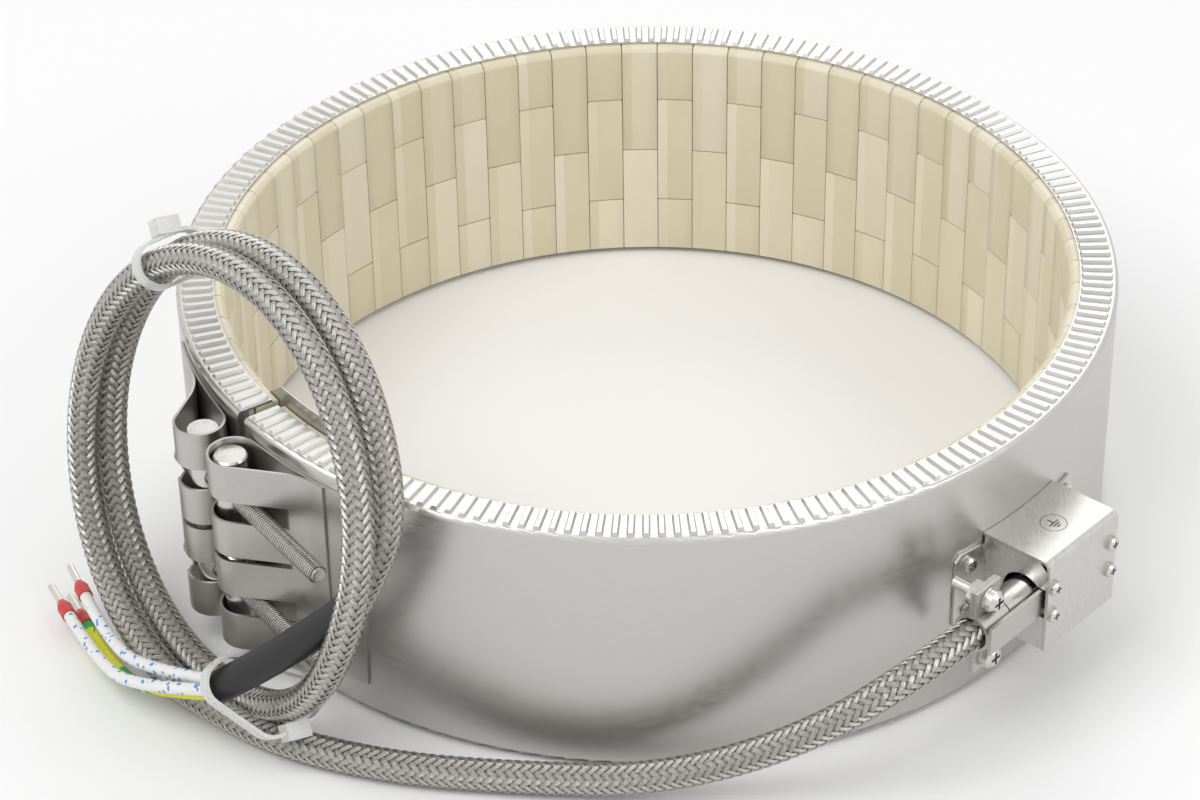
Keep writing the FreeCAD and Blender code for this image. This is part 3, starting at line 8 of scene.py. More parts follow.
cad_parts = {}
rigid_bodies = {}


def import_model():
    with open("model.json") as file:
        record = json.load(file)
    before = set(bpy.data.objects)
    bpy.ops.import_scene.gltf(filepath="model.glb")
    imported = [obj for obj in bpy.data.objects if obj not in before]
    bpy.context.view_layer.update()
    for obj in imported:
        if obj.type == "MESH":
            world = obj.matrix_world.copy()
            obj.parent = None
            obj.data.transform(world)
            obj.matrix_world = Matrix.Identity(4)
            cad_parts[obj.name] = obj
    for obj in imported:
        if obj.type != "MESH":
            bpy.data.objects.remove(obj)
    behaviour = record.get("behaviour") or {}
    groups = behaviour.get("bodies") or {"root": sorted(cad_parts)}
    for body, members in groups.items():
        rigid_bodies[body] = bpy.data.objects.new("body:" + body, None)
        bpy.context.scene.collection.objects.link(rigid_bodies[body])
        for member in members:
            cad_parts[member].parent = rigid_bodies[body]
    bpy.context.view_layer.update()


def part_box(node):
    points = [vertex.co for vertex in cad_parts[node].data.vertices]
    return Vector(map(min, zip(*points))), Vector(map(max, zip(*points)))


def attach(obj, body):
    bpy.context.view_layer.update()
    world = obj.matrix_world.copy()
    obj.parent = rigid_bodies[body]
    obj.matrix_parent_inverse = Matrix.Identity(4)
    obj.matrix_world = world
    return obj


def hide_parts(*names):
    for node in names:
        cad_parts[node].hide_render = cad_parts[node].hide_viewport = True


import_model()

bl_info = {
    "name": "Band heater looks",
    "version": (1, 0, 0),
    "blender": (4, 5, 0),
    "location": "3D View > Sidebar > Band heater",
    "description": "Materials, braided cable, leads and stage for a ceramic band heater",
    "category": "Object",
}

MM = 0.001
CLAMP_ANGLE = 214.5
BOX_ANGLE = 317.5
COIL_LEAN = math.radians(15.3)
COIL_YAW = math.radians(5.0)
COIL_RADIUS = 72.0
COIL_OUT = 162.0
COIL_SIDE = 10.0
COIL_LEVEL = 74.798
COIL_STEP = 10.8 / math.cos(COIL_LEAN)
COIL_START = -90
COIL_TURNED = 610
COIL_POINT_EVERY = 10
# The outer turn slides in beside the ring over this stretch, in degrees turned.
SLIDE_START = 275
SLIDE_LENGTH = 85
FLOOR_LEVEL = 5.4
RING_RADIUS = 156.0
GAP_WIDTH = 4.0
TILE_COLUMNS = 68
THREAD_PITCH = 0.001
THREAD_START = -0.0165
WIRES_PER_RIBBON = 6
BRAID_PIECES = 3
SAMPLES_PER_LAY = 60
RIBBON_HALF_ANGLE = 0.235
RIBBON_EDGE_DROP = 0.00011
RIBBON_CROWN = 0.00007


# ---------------------------------------------------------------- places
def at_angle(angle, radial, along, height):
    """A place in metres, from millimetres outwards, along the band and up."""
    a = math.radians(angle)
    return (MM * (math.cos(a) * radial - math.sin(a) * along),
            MM * (math.sin(a) * radial + math.cos(a) * along), MM * height)


def at_clamp(radial, along, height):
    return at_angle(CLAMP_ANGLE, radial, along, height)


def on_coil(angle, radius, out):
    """A place on the hanging coil, which leans against the ring."""
    a = math.radians(angle)
    around, rise = radius * math.cos(a), radius * math.sin(a)
    lean = out - math.sin(COIL_LEAN) * rise
    return at_clamp(COIL_OUT - math.sin(COIL_YAW) * around + math.cos(COIL_YAW) * lean,
                    COIL_SIDE + math.cos(COIL_YAW) * around + math.sin(COIL_YAW) * lean,
                    COIL_LEVEL + math.cos(COIL_LEAN) * rise)


BOOT = [at_clamp(161.5, 74, 64), at_clamp(177, 62, 46), at_clamp(196, 45, 28.5)]


def cable_route():
    """From the box sleeve along the table, then two turns, down to the boot."""
    places = [at_angle(BOX_ANGLE, 170.9, -20, 45), at_angle(BOX_ANGLE, 170.9, -62, 45),
              at_angle(284.5, 178, 0, 24), at_angle(270, 170.5, 0, 7.5),
              at_angle(256, 171, 0, FLOOR_LEVEL), at_clamp(158, 86, FLOOR_LEVEL),
              at_clamp(182, 52, FLOOR_LEVEL)]
    # A spline passes a little inside its control points, so they lie a little outside.
    radius = COIL_RADIUS / math.cos(math.radians(COIL_POINT_EVERY / 2))
    for turned in range(0, COIL_TURNED + 1, COIL_POINT_EVERY):
        slide = min(max((turned - SLIDE_START) / SLIDE_LENGTH, 0.0), 1.0)
        out = COIL_STEP * (1 - slide * slide * (3 - 2 * slide))
        places.append(on_coil(COIL_START - turned, radius, out))
    places.append(on_coil(-713.5, 70.5, 0.6))
    places.append(BOOT[0])
    return places


def lead_routes():
    """The three leads from the boot's mouth to their ferrules."""
    forward = (Vector(BOOT[2]) - Vector(BOOT[1])).normalized()
    sideways = forward.cross(Vector((0, 0, 1))).normalized()
    upward = sideways.cross(forward)
    turns = {
        "white_upper": (0.95 * sideways + 0.6 * upward,
                        [(204, 14, 19), (204, -12, 13), (198.5, -38, 12.5)]),
        "white_lower": (-0.95 * sideways + 0.6 * upward,
                        [(209.5, 15, 15), (209, -12, 8), (205, -38, 7.5)]),
        "earth": (-1.1 * upward, [(205, 16, 11.5), (204.5, -10, 4), (200, -36, 2.7)]),
    }
    routes = {}
    for name, (shift, places) in turns.items():
        start = Vector(BOOT[2]) + 2.48 * MM * shift
        routes[name] = [tuple(start)] + [at_clamp(*place) for place in places]
    return routes


# ---------------------------------------------------------------- helpers
def deselect():
    for obj in bpy.context.selected_objects:
        obj.select_set(False)


def only(obj):
    deselect()
    obj.select_set(True)
    bpy.context.view_layer.objects.active = obj


def nurbs(name, places, radius, resolution=12, sides=5, radii=None):
    """One smooth spline with the places as its control points."""
    data = bpy.data.curves.new(name, "CURVE")
    data.dimensions = "3D"
    data.resolution_u = resolution
    data.bevel_depth = radius
    data.bevel_resolution = sides
    data.use_fill_caps = radius > 0
    spline = data.splines.new("NURBS")
    spline.points.add(len(places) - 1)
    for index, (point, place) in enumerate(zip(spline.points, places)):
        point.co = (*place, 1.0)
        if radii:
            point.radius = radii[index]
    spline.order_u = 3
    spline.use_endpoint_u = True
    obj = bpy.data.objects.new(name, data)
    bpy.context.scene.collection.objects.link(obj)
    return obj


def centreline(places):
    """The points that a spline through these control points follows."""
    probe = nurbs("centreline", places, 0.0)
    bpy.context.view_layer.update()
    mesh = bpy.data.meshes.new_from_object(probe)
    line = np.array([vertex.co[:] for vertex in mesh.vertices])
    curve = probe.data
    bpy.data.objects.remove(probe)
    bpy.data.curves.remove(curve)
    bpy.data.meshes.remove(mesh)
    return line


def line_length(line):
    return float(np.linalg.norm(np.diff(line, axis=0), axis=1).sum())


def resample(line, count):
    """Evenly spaced points on a line, with a frame that doesn't twist."""
    gone = np.concatenate([[0], np.cumsum(np.linalg.norm(np.diff(line, axis=0), axis=1))])
    at = np.linspace(0, gone[-1], count)
    points = np.stack([np.interp(at, gone, line[:, axis]) for axis in range(3)], axis=1)
    tangents = np.gradient(points, axis=0)
    tangents /= np.linalg.norm(tangents, axis=1)[:, None]
    normal = np.cross(tangents[0], (0.3, 0.2, 0.93))
    normals = []
    for tangent in tangents:
        normal = normal - tangent * np.dot(normal, tangent)
        normal = normal / np.linalg.norm(normal)
        normals.append(normal)
    normals = np.array(normals)
    return at, points, normals, np.cross(tangents, normals)


def mesh_object(name, vertices, faces, material, uv=None):
    mesh = bpy.data.meshes.new(name)
    mesh.from_pydata(vertices, [], faces)
    mesh.update()
    if uv is not None:
        layer = mesh.uv_layers.new(name="along")
        corners = np.empty(len(mesh.loops), dtype=np.int32)
        mesh.loops.foreach_get("vertex_index", corners)
        layer.data.foreach_set("uv", uv[corners].ravel())
    mesh.polygons.foreach_set("use_smooth", [True] * len(mesh.polygons))
    mesh.materials.append(material)
    obj = bpy.data.objects.new(name, mesh)
    bpy.context.scene.collection.objects.link(obj)
    return obj


def settle(obj, body="ring"):
    """A finished piece rides a body."""
    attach(obj, body)


# ---------------------------------------------------------------- materials
def surface(name, light, dark, rough, metallic=0.0, scale=300.0, stretch=(1, 1, 1),
            bump=0.0, spread=0.06):
    """A material with a fine grain in colour, roughness and height."""
    material = bpy.data.materials.new(name)
    material.use_nodes = True
    nodes, links = material.node_tree.nodes, material.node_tree.links
    shader = nodes["Principled BSDF"]
    shader.inputs["Metallic"].default_value = metallic
    place = nodes.new("ShaderNodeTexCoord")
    mapping = nodes.new("ShaderNodeMapping")
    mapping.inputs["Scale"].default_value = stretch
    links.new(place.outputs["Object"], mapping.inputs["Vector"])
    grain = nodes.new("ShaderNodeTexNoise")
    grain.name = "grain"
    grain.inputs["Scale"].default_value = scale
    grain.inputs["Detail"].default_value = 5
    links.new(mapping.outputs[0], grain.inputs["Vector"])
    tint = nodes.new("ShaderNodeMix")
    tint.name = "tint"
    tint.data_type = "RGBA"
    tint.inputs[6].default_value = (*dark, 1)
    tint.inputs[7].default_value = (*light, 1)
    links.new(grain.outputs[0], tint.inputs[0])
    links.new(tint.outputs[2], shader.inputs["Base Color"])
    reach = nodes.new("ShaderNodeMapRange")
    reach.inputs["From Min"].default_value = 0.3
    reach.inputs["From Max"].default_value = 0.7
    reach.inputs["To Min"].default_value = max(rough - spread, 0.03)
    reach.inputs["To Max"].default_value = rough + spread
    links.new(grain.outputs[0], reach.inputs["Value"])
    links.new(reach.outputs[0], shader.inputs["Roughness"])
    if bump:
        rise = nodes.new("ShaderNodeBump")
        rise.name = "rise"
        rise.inputs["Strength"].default_value = bump
        rise.inputs["Distance"].default_value = 0.0002
        links.new(grain.outputs[0], rise.inputs["Height"])
        links.new(rise.outputs[0], shader.inputs["Normal"])
    return material


def math_node(material, operation, *values):
    """A maths node; each value is a number or another node's output."""
    nodes, links = material.node_tree.nodes, material.node_tree.links
    node = nodes.new("ShaderNodeMath")
    node.operation = operation
    for index, value in enumerate(values):
        if isinstance(value, (int, float)):
            node.inputs[index].default_value = value
        else:
            links.new(value, node.inputs[index])
    return node.outputs[0]


def split_place(material):
    nodes, links = material.node_tree.nodes, material.node_tree.links
    place = nodes.new("ShaderNodeTexCoord")
    parts = nodes.new("ShaderNodeSeparateXYZ")
    links.new(place.outputs["Object"], parts.inputs[0])
    return parts.outputs


def tile_material(name):
    """Steatite in two tones, one tone to a tile."""
    material = surface(name, (0.80, 0.755, 0.62), (0.75, 0.70, 0.56), 0.42, scale=90.0,
                       bump=0.12)
    nodes, links = material.node_tree.nodes, material.node_tree.links
    x, y, _ = split_place(material)
    turned = math_node(material, "ARCTAN2", y, x)
    start = math.radians(CLAMP_ANGLE) + GAP_WIDTH / 2 / RING_RADIUS
    column_angle = (2 * math.pi - GAP_WIDTH / RING_RADIUS) / TILE_COLUMNS
    share = math_node(material, "DIVIDE",
                      math_node(material, "SUBTRACT", turned, start - 4 * math.pi),
                      column_angle)
    column = math_node(material, "FLOOR", share)
    which = nodes.new("ShaderNodeObjectInfo")
    seed = nodes.new("ShaderNodeCombineXYZ")
    links.new(column, seed.inputs[0])
    links.new(which.outputs["Random"], seed.inputs[1])
    lot = nodes.new("ShaderNodeTexWhiteNoise")
    links.new(seed.outputs[0], lot.inputs["Vector"])
    tone = nodes.new("ShaderNodeValToRGB")
    tone.color_ramp.elements[0].position = 0.35
    tone.color_ramp.elements[0].color = (0.90, 0.87, 0.79, 1)
    tone.color_ramp.elements[1].position = 0.75
    tone.color_ramp.elements[1].color = (1.0, 0.98, 0.95, 1)
    links.new(lot.outputs["Value"], tone.inputs[0])
    blend = nodes.new("ShaderNodeMix")
    blend.data_type = "RGBA"
    blend.blend_type = "MULTIPLY"
    blend.inputs[0].default_value = 1.0
    links.new(nodes["tint"].outputs[2], blend.inputs[6])
    links.new(tone.outputs[0], blend.inputs[7])
    links.new(blend.outputs[2], nodes["Principled BSDF"].inputs["Base Color"])
    return material


def thread_material(name):
    """Bright zinc steel with the thread of an M6 bolt past its plain shank, with painted shade
    in the thread's grooves.
    """
    material = surface(name, (0.66, 0.65, 0.62), (0.50, 0.49, 0.47), 0.3, 1.0, 500.0)
    nodes, links = material.node_tree.nodes, material.node_tree.links
    x, y, _ = split_place(material)
    a = math.radians(CLAMP_ANGLE)
    along = math_node(material, "ADD", math_node(material, "MULTIPLY", x, -math.sin(a)),
                      math_node(material, "MULTIPLY", y, math.cos(a)))
    wave = math_node(material, "SINE",
                     math_node(material, "MULTIPLY", along, 2 * math.pi / THREAD_PITCH))
    threaded = math_node(material, "GREATER_THAN", along, THREAD_START)
    height = math_node(material, "MULTIPLY", wave, threaded)
    rise = nodes.new("ShaderNodeBump")
    rise.inputs["Strength"].default_value = 0.9
    rise.inputs["Distance"].default_value = 0.0003
    links.new(height, rise.inputs["Height"])
    links.new(rise.outputs[0], nodes["Principled BSDF"].inputs["Normal"])
    # Painted shade: past the shank, the base colour is darkened in the thread's grooves.
    dark = nodes.new("ShaderNodeMix")
    dark.data_type = "RGBA"
    dark.blend_type = "MULTIPLY"
    dark.inputs[7].default_value = (0.35, 0.34, 0.33, 1)
    links.new(math_node(material, "MULTIPLY", math_node(material, "LESS_THAN", wave, -0.3),
                        threaded), dark.inputs[0])
    links.new(nodes["tint"].outputs[2], dark.inputs[6])
    links.new(dark.outputs[2], nodes["Principled BSDF"].inputs["Base Color"])
    return material


def braid_material(name):
    """Flat ribbons of fine tinned wires, with painted shade: darker in the grooves between the
    wires and towards each ribbon's edges.
    """
    material = surface(name, (0.83, 0.82, 0.79), (0.55, 0.53, 0.49), 0.3, 1.0, 700.0)
    nodes, links = material.node_tree.nodes, material.node_tree.links
    uv = nodes.new("ShaderNodeUVMap")
    uv.uv_map = "along"
    parts = nodes.new("ShaderNodeSeparateXYZ")
    links.new(uv.outputs[0], parts.inputs[0])
    wires = math_node(material, "SINE",
                      math_node(material, "MULTIPLY", parts.outputs[0],
                                2 * math.pi * WIRES_PER_RIBBON))
    depth = nodes.new("ShaderNodeMapRange")
    depth.inputs["From Min"].default_value = -1.0
    depth.inputs["From Max"].default_value = -0.2
    links.new(wires, depth.inputs["Value"])
    edge = math_node(material, "ABSOLUTE",
                     math_node(material, "SUBTRACT", parts.outputs[0], 0.5))
    middle = nodes.new("ShaderNodeMapRange")
    middle.inputs["From Min"].default_value = 0.5
    middle.inputs["From Max"].default_value = 0.36
    middle.inputs["To Min"].default_value = 0.25
    links.new(edge, middle.inputs["Value"])
    # Painted shade: the colour goes to dark brown in the grooves between the wires, and more
    # towards the ribbon's edges.
    shade = math_node(material, "MULTIPLY", depth.outputs[0], middle.outputs[0])
    tone = nodes.new("ShaderNodeMix")
    tone.data_type = "RGBA"
    tone.inputs[6].default_value = (0.10, 0.085, 0.07, 1)
    links.new(shade, tone.inputs[0])
    links.new(nodes["tint"].outputs[2], tone.inputs[7])
    links.new(tone.outputs[2], nodes["Principled BSDF"].inputs["Base Color"])
    rise = nodes.new("ShaderNodeBump")
    rise.inputs["Strength"].default_value = 0.7
    rise.inputs["Distance"].default_value = 0.00012
    links.new(wires, rise.inputs["Height"])
    links.new(rise.outputs[0], nodes["Principled BSDF"].inputs["Normal"])
    return material


def flecked(name, ground, fleck, scale, cover):
    """Woven glass sleeve with coloured flecks."""
    material = surface(name, ground, tuple(0.86 * c for c in ground), 0.6, scale=900.0,
                       bump=0.5)
    nodes, links = material.node_tree.nodes, material.node_tree.links
    place = nodes.new("ShaderNodeTexCoord")
    spots = nodes.new("ShaderNodeTexVoronoi")
    spots.inputs["Scale"].default_value = scale
    links.new(place.outputs["Object"], spots.inputs["Vector"])
    lot = nodes.new("ShaderNodeSeparateColor")
    links.new(spots.outputs["Color"], lot.inputs[0])
    tone = nodes.new("ShaderNodeMix")
    tone.data_type = "RGBA"
    tone.inputs[7].default_value = (*fleck, 1)
    links.new(math_node(material, "LESS_THAN", lot.outputs[0], cover), tone.inputs[0])
    links.new(nodes["tint"].outputs[2], tone.inputs[6])
    links.new(tone.outputs[2], nodes["Principled BSDF"].inputs["Base Color"])
    return material


def clear_nylon(name):
    material = surface(name, (0.88, 0.88, 0.86), (0.82, 0.82, 0.80), 0.3, scale=200.0)
    shader = material.node_tree.nodes["Principled BSDF"]
    shader.inputs["Transmission Weight"].default_value = 0.35
    shader.inputs["Subsurface Weight"].default_value = 0.3
    shader.inputs["Subsurface Scale"].default_value = 0.002
    return material


def make_materials():
    return {
        "shell": surface("Ring steel", (0.60, 0.59, 0.57), (0.54, 0.53, 0.51), 0.34, 1.0,
                         260.0, (1, 1, 6), 0.02),
        "strap": surface("Strap steel", (0.56, 0.55, 0.53), (0.46, 0.45, 0.43), 0.38, 1.0,
                         220.0, (1, 1, 8), 0.04),
        "bright": surface("Bright steel", (0.66, 0.65, 0.63), (0.56, 0.55, 0.53), 0.24, 1.0,
                          400.0),
        "box": surface("Box steel", (0.64, 0.63, 0.61), (0.54, 0.53, 0.51), 0.3, 1.0, 240.0,
                       (6, 1, 1), 0.02),
        "bolt": thread_material("Bolt steel"),
        "tile": tile_material("Steatite"),
        "blanket": surface("Ceramic wool", (0.86, 0.85, 0.81), (0.74, 0.72, 0.68), 0.9,
                           scale=500.0, bump=0.8),
        "element": surface("Element strip", (0.42, 0.38, 0.33), (0.30, 0.27, 0.24), 0.4, 1.0),
        "brass": surface("Brass", (0.72, 0.55, 0.26), (0.60, 0.44, 0.20), 0.3, 1.0),
        "tinned": surface("Tinned copper", (0.72, 0.70, 0.66), (0.56, 0.54, 0.50), 0.3, 1.0),
        "ferrule": surface("Ferrule collar", (0.62, 0.05, 0.03), (0.50, 0.03, 0.02), 0.4),
        "boot": surface("Shrunk boot", (0.018, 0.018, 0.019), (0.01, 0.01, 0.011), 0.42,
                        scale=400.0, bump=0.2),
        # The core under the braid is real, but its dark brown is painted shade: it stands for
        # the shade inside the braid, seen through its gaps.
        "core": surface("Braid ground", (0.13, 0.115, 0.095), (0.07, 0.06, 0.05), 0.6, 0.4),
        "braid": braid_material("Wire braid"),
        "white": flecked("White glass sleeve", (0.86, 0.86, 0.84), (0.10, 0.30, 0.66), 800.0,
                         0.09),
        "earth": flecked("Earth sleeve", (0.78, 0.76, 0.03), (0.04, 0.36, 0.08), 170.0, 0.4),
        "tie": clear_nylon("Nylon tie"),
        "print": surface("Dark print", (0.05, 0.05, 0.05), (0.03, 0.03, 0.03), 0.5),
    }


NODE_LOOKS = {
    "shell": "shell", "gap_strip": "shell", "heating_element": "element",
    "insulation_blanket": "blanket", "strap_left": "strap", "strap_right": "strap",
    "box_base": "box", "box_cover": "box", "outlet_sleeve": "bright",
    "terminal_block": "blanket", "terminal_0": "brass", "terminal_1": "brass",
    "lead_pin_0": "tinned", "lead_pin_1": "tinned", "clip_front": "strap",
    "clip_back": "strap", "clamp_bolt_lower": "bolt", "clamp_bolt_upper": "bolt",
    "tie_top": "tie", "tie_bottom": "tie", "heat_shrink": "boot", "cable_run": "core",
    "cable_coil": "core", "wire_white_upper": "white", "wire_white_lower": "white",
    "wire_earth": "earth",
}


def node_look(name):
    """Which material a modelled node wears."""
    if name in NODE_LOOKS:
        return NODE_LOOKS[name]
    for start, look in (("tiles_", "tile"), ("barrel_", "bright"), ("washer_", "bright"),
                        ("cover_screw_", "bright"), ("tab_screw_", "bright"),
                        ("clip_", "bright")):
        if name.startswith(start):
            return look
    if name.startswith("ferrule_"):
        return "ferrule" if name.endswith("collar") else "tinned"
    return "bright"


LOOKS = {}


# ---------------------------------------------------------------- sizes
class CableSizes(bpy.types.PropertyGroup):
    """Sizes of the braided cable and its leads."""

    diameter: bpy.props.FloatProperty(
        name="Cable diameter", description="Outside diameter over the braid",
        default=0.0105, min=0.002, unit="LENGTH", precision=4)
    # The core's dark ground is painted shade inside the braid.
    core_radius: bpy.props.FloatProperty(
        name="Core radius", description="Radius of the dark ground below the braid",
        default=0.0045, min=0.001, unit="LENGTH", precision=4)
    braid_radius: bpy.props.FloatProperty(
        name="Braid radius", description="Mean radius of the braid's ribbons",
        default=0.00494, min=0.001, unit="LENGTH", precision=5)
    weave: bpy.props.FloatProperty(
        name="Weave", description="How far a ribbon rises and dips at its crossings",
        default=0.0002, min=0.0, unit="LENGTH", precision=5)
    lay: bpy.props.FloatProperty(
        name="Lay length", description="Length of cable in which a ribbon goes round once",
        default=0.036, min=0.005, unit="LENGTH", precision=4)
    ribbons: bpy.props.IntProperty(
        name="Ribbons", description="Ribbons that go round each way", default=12, min=4,
        subtype="UNSIGNED")
    boot_radius: bpy.props.FloatProperty(
        name="Boot radius", description="Radius of the shrunk boot", default=0.0055,
        min=0.001, unit="LENGTH", precision=4)
    lead_diameter: bpy.props.FloatProperty(
        name="Lead diameter", description="Outside diameter of a lead", default=0.004,
        min=0.001, unit="LENGTH", precision=4)


class MarkSizes(bpy.types.PropertyGroup):
    """The earth sign on the box."""

    radius: bpy.props.FloatProperty(
        name="Mark radius", description="Radius of the circle round the earth sign",
        default=0.0042, min=0.001, unit="LENGTH", precision=4)
    line: bpy.props.FloatProperty(
        name="Line", description="Width of the sign's lines", default=0.00045, min=0.0001,
        unit="LENGTH", precision=5)
    relief: bpy.props.FloatProperty(
        name="Relief", description="How far the print stands above the sheet",
        default=0.00005, min=0.0, unit="LENGTH", precision=5)


class StageSizes(bpy.types.PropertyGroup):
    """Camera, light and floor."""

    lens: bpy.props.FloatProperty(
        name="Lens", description="Focal length of the camera", default=107.2, min=20.0,
        unit="CAMERA")
    roll: bpy.props.FloatProperty(
        name="Roll", description="Turn of the camera about its view", default=-0.0169,
        subtype="ANGLE")
    floor: bpy.props.FloatProperty(
        name="Floor size", description="Edge length of the floor", default=8.0, min=1.0,
        unit="LENGTH")
    ambient: bpy.props.FloatProperty(
        name="Ambient light", description="Strength of the light from all round",
        default=0.62, min=0.0, subtype="FACTOR", max=2.0)


# ---------------------------------------------------------------- operators
class BAND_OT_materials(bpy.types.Operator):
    """Give every modelled node its material"""

    bl_idname = "band_heater.materials"
    bl_label = "Materials"

    def execute(self, context):
        LOOKS.update(make_materials())
        for obj in list(context.scene.objects):
            if obj.type != "MESH":
                continue
            look = LOOKS[node_look(obj.name)]
            if not obj.material_slots:
                obj.data.materials.append(look)
            for slot in obj.material_slots:
                slot.material = look
        return {"FINISHED"}


class BAND_OT_tiles(bpy.types.Operator):
    """Round the edges of the ceramic tiles"""

    bl_idname = "band_heater.tiles"
    bl_label = "Tiles"

    def execute(self, context):
        for obj in context.scene.objects:
            if obj.name.startswith("tiles_"):
                self.soften(obj, 0.0006)
        return {"FINISHED"}

    def soften(self, obj, width):
        weld = obj.modifiers.new("joined", "WELD")
        weld.merge_threshold = 1e-6
        soft = obj.modifiers.new("soft edges", "BEVEL")
        soft.width = width
        soft.segments = 2
        soft.limit_method = "ANGLE"
        soft.angle_limit = math.radians(30)


class BAND_OT_cable(bpy.types.Operator):
    """Run the braided cable from the box round its coil, with the boot"""

    bl_idname = "band_heater.cable"
    bl_label = "Cable"

    def execute(self, context):
        sizes = context.scene.band_cable
        deselect()
        route = cable_route()
        line = centreline(route)
        # The core's dark colour is painted shade, seen through the braid's gaps.
        core = nurbs("cable", route, sizes.core_radius)
        core.data.materials.append(LOOKS["core"])
        settle(core)
        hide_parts("cable_run", "cable_coil")
        braids = [self.braid(sizes, line, part) for part in range(BRAID_PIECES)]
        boot = nurbs("boot", BOOT, sizes.boot_radius, radii=(0.99, 1.0, 0.96))
        boot.data.materials.append(LOOKS["boot"])
        only(boot)
        bpy.ops.object.convert(target="MESH")
        bpy.ops.object.shade_smooth_by_angle(angle=math.radians(40))
        settle(boot)
        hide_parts("heat_shrink")
        return {"FINISHED"}

    def braid(self, sizes, line, part):
        """One stretch of the two sets of ribbons, over two and under two."""
        whole = int(SAMPLES_PER_LAY * line_length(line) / sizes.lay)
        at, points, normals, sides = resample(line, whole)
        first = part * (whole - 1) // BRAID_PIECES
        last = (part + 1) * (whole - 1) // BRAID_PIECES + 1
        at, points = at[first:last], points[first:last]
        normals, sides = normals[first:last], sides[first:last]
        count = len(at)
        vertices, faces, uv = [], [], []
        across = ((-RIBBON_HALF_ANGLE, -RIBBON_EDGE_DROP, 0.0), (0.0, RIBBON_CROWN, 0.5),
                  (RIBBON_HALF_ANGLE, -RIBBON_EDGE_DROP, 1.0))
        base = 0
        for way in (1, -1):
            for ribbon in range(sizes.ribbons):
                angle = way * 2 * np.pi * at / sizes.lay + 2 * np.pi * ribbon / sizes.ribbons
                phase = way * 2 * sizes.ribbons * at / sizes.lay
                crossing = 2 * ribbon + phase
                rise = way * sizes.weave * np.cos(np.pi / 2 * crossing - np.pi / 4)
                for turn, lift, u in across:
                    radius = (sizes.braid_radius + rise + lift)[:, None]
                    a = (angle + turn)[:, None]
                    vertices.append(points + radius * (np.cos(a) * normals
                                                       + np.sin(a) * sides))
                    uv.append(np.stack([np.full(count, u), at * 1000], axis=1))
                row = np.arange(count - 1)
                for k in range(len(across) - 1):
                    low, high = base + k * count, base + (k + 1) * count
                    quads = np.stack([low + row, high + row, high + row + 1, low + row + 1],
                                     axis=1)
                    faces.append(quads)
                base += len(across) * count
        obj = mesh_object(f"braid_{part}", np.concatenate(vertices).tolist(),
                          np.concatenate(faces).tolist(), LOOKS["braid"],
                          np.concatenate(uv))
        settle(obj)
        return obj


class BAND_OT_leads(bpy.types.Operator):
    """Lead the two white wires and the earth wire from the boot to their ferrules"""

    bl_idname = "band_heater.leads"
    bl_label = "Leads"

    def execute(self, context):
        sizes = context.scene.band_cable
        deselect()
        for name, route in lead_routes().items():
            wire = nurbs(f"lead_{name}", route, sizes.lead_diameter / 2, sides=4)
            look = "earth" if name == "earth" else "white"
            wire.data.materials.append(LOOKS[look])
            settle(wire)
            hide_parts(f"wire_{name}")
            line_length(centreline(route))
        return {"FINISHED"}


class BAND_OT_earth_mark(bpy.types.Operator):
    """Print the earth sign in its circle on top of the terminal box"""

    bl_idname = "band_heater.earth_mark"
    bl_label = "Earth mark"

    def execute(self, context):
        sizes = context.scene.band_mark
        deselect()
        bpy.ops.mesh.primitive_torus_add(major_radius=sizes.radius, minor_radius=sizes.line / 2,
                                         major_segments=64, minor_segments=8)
        parts = [context.active_object]
        bars = [(-0.28, 0.0, 0.56, 1.0)]
        bars += [(0.02 + 0.24 * k, 0.0, 1.0, 1.1 - 0.36 * k) for k in range(3)]
        for index, (x, y, length, width) in enumerate(bars):
            bpy.ops.mesh.primitive_cube_add(
                size=1.0, location=(x * sizes.radius, y * sizes.radius, 0))
            bar = context.active_object
            if index == 0:
                bar.scale = (length * sizes.radius, sizes.line, sizes.line)
            else:
                bar.scale = (sizes.line, width * sizes.radius, sizes.line)
            parts.append(bar)
        deselect()
        for part in parts:
            part.select_set(True)
        context.view_layer.objects.active = parts[0]
        bpy.ops.object.join()
        mark = context.active_object
        mark.name = mark.data.name = "earth_mark"
        bpy.ops.object.transform_apply(location=True, rotation=True, scale=True)
        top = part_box("box_cover")[1].z
        place = Vector(at_angle(BOX_ANGLE, 168.5, 0, 0))
        place.z = top + sizes.relief - sizes.line / 2
        turn = Matrix.Rotation(math.radians(BOX_ANGLE), 4, "Z")
        mark.data.transform(Matrix.Translation(place) @ turn)
        mark.data.materials.append(LOOKS["print"])
        settle(mark)
        return {"FINISHED"}


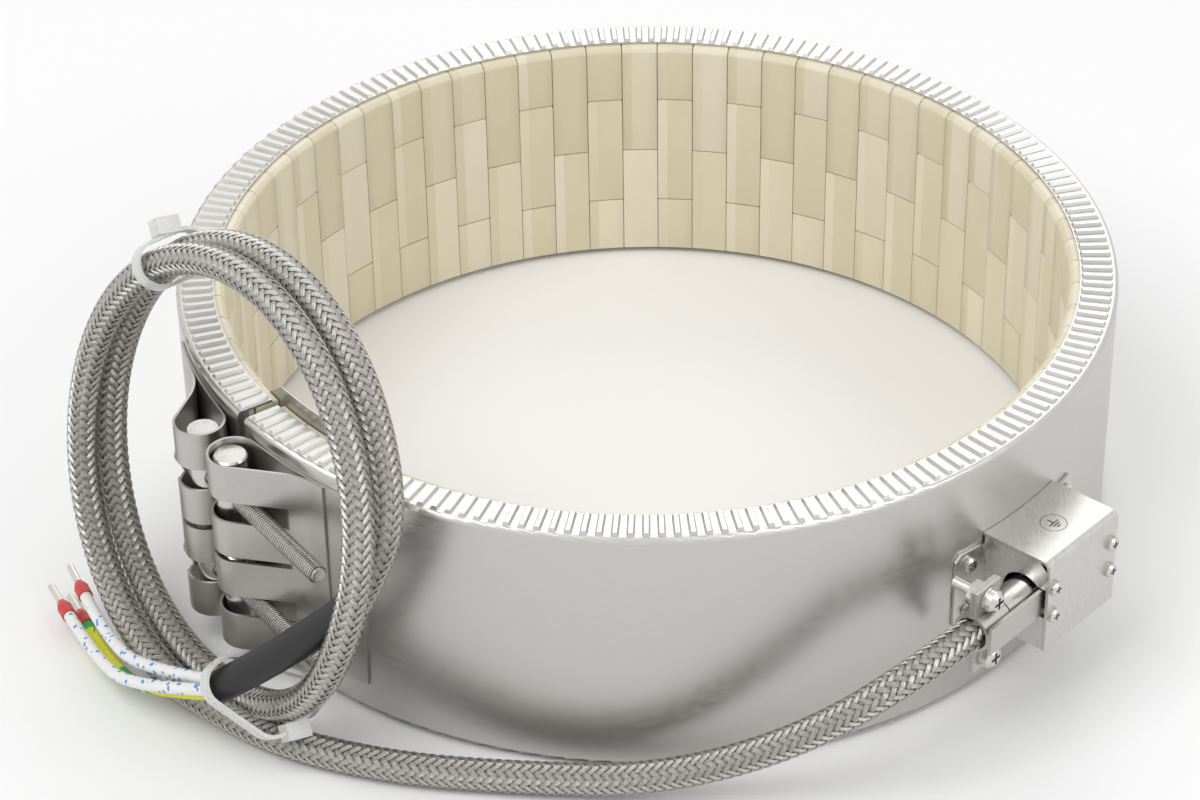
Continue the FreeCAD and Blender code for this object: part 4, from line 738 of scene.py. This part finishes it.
class BAND_OT_stage(bpy.types.Operator):
    """Set the floor, the light and the camera"""

    bl_idname = "band_heater.stage"
    bl_label = "Stage"

    def execute(self, context):
        sizes = context.scene.band_stage
        scene = context.scene
        deselect()
        bpy.ops.mesh.primitive_plane_add(size=sizes.floor, location=(0, 0, -0.0002))
        floor = context.active_object
        floor.name = "floor"
        bpy.ops.object.transform_apply(location=True, rotation=True, scale=True)
        floor.data.materials.append(surface("Pale floor", (0.90, 0.90, 0.90),
                                            (0.88, 0.88, 0.88), 0.7, scale=3.0))
        for name, place, size, power in (
                ("key light", (-0.9, -0.7, 1.7), 1.3, 17.0),
                ("fill light", (1.3, -0.8, 1.1), 1.0, 6.0),
                ("rim light", (0.3, 1.5, 1.3), 1.2, 7.0)):
            data = bpy.data.lights.new(name, "AREA")
            data.size = size
            data.energy = power
            light = bpy.data.objects.new(name, data)
            light.location = place
            aim = Vector((0, 0, 0.04)) - Vector(place)
            light.rotation_euler = aim.to_track_quat("-Z", "Y").to_euler()
            scene.collection.objects.link(light)
        self.sky(scene, sizes)
        data = bpy.data.cameras.new("camera")
        data.lens = sizes.lens
        data.sensor_width = 36.0
        camera = bpy.data.objects.new("camera", data)
        scene.collection.objects.link(camera)
        pitch = math.atan2(0.8171, 0.5766)
        camera.matrix_world = (Matrix.Translation((-0.0162, -0.9988, 0.7352))
                               @ Matrix.Rotation(pitch, 4, "X")
                               @ Matrix.Rotation(sizes.roll, 4, "Z"))
        scene.camera = camera
        scene.view_settings.view_transform = "Standard"
        return {"FINISHED"}

    def sky(self, scene, sizes):
        """White where it is seen, softer where it only lights."""
        world = bpy.data.worlds.new("white room")
        scene.world = world
        world.use_nodes = True
        nodes, links = world.node_tree.nodes, world.node_tree.links
        nodes.clear()
        rays = nodes.new("ShaderNodeLightPath")
        seen = None
        for name in ("Is Camera Ray", "Is Glossy Ray", "Is Transmission Ray"):
            if seen is None:
                seen = rays.outputs[name]
                continue
            either = nodes.new("ShaderNodeMath")
            either.operation = "MAXIMUM"
            links.new(seen, either.inputs[0])
            links.new(rays.outputs[name], either.inputs[1])
            seen = either.outputs[0]
        soft = nodes.new("ShaderNodeBackground")
        soft.inputs["Color"].default_value = (1, 1, 1, 1)
        soft.inputs["Strength"].default_value = sizes.ambient
        white = nodes.new("ShaderNodeBackground")
        white.inputs["Color"].default_value = (1, 1, 1, 1)
        white.inputs["Strength"].default_value = 1.0
        mix = nodes.new("ShaderNodeMixShader")
        links.new(seen, mix.inputs[0])
        links.new(soft.outputs[0], mix.inputs[1])
        links.new(white.outputs[0], mix.inputs[2])
        out = nodes.new("ShaderNodeOutputWorld")
        links.new(mix.outputs[0], out.inputs[0])


class BAND_PT_panel(bpy.types.Panel):
    """Buttons for the band heater"""

    bl_idname = "BAND_PT_panel"
    bl_label = "Band heater"
    bl_space_type = "VIEW_3D"
    bl_region_type = "UI"
    bl_category = "Band heater"

    def draw(self, context):
        layout = self.layout
        scene = context.scene
        for group in (scene.band_cable, scene.band_mark, scene.band_stage):
            column = layout.column(align=True)
            for name in group.__annotations__:
                column.prop(group, name)
        for operator in STEPS:
            layout.operator(operator.bl_idname)


STEPS = (BAND_OT_materials, BAND_OT_tiles, BAND_OT_cable, BAND_OT_leads,
         BAND_OT_earth_mark, BAND_OT_stage)
CLASSES = (CableSizes, MarkSizes, StageSizes, *STEPS, BAND_PT_panel)


def register():
    for cls in CLASSES:
        bpy.utils.register_class(cls)
    bpy.types.Scene.band_cable = bpy.props.PointerProperty(
        type=CableSizes, name="Cable", description="Sizes of the cable and its leads")
    bpy.types.Scene.band_mark = bpy.props.PointerProperty(
        type=MarkSizes, name="Mark", description="The earth sign on the box")
    bpy.types.Scene.band_stage = bpy.props.PointerProperty(
        type=StageSizes, name="Stage", description="Camera, light and floor")


def unregister():
    del bpy.types.Scene.band_stage
    del bpy.types.Scene.band_mark
    del bpy.types.Scene.band_cable
    for cls in reversed(CLASSES):
        bpy.utils.unregister_class(cls)


def main():
    register()
    for step in (bpy.ops.band_heater.materials, bpy.ops.band_heater.tiles,
                 bpy.ops.band_heater.cable, bpy.ops.band_heater.leads,
                 bpy.ops.band_heater.earth_mark, bpy.ops.band_heater.stage):
        if step() != {"FINISHED"}:
            raise RuntimeError(f"{step} didn't finish")


if __name__ == "__main__":
    main()
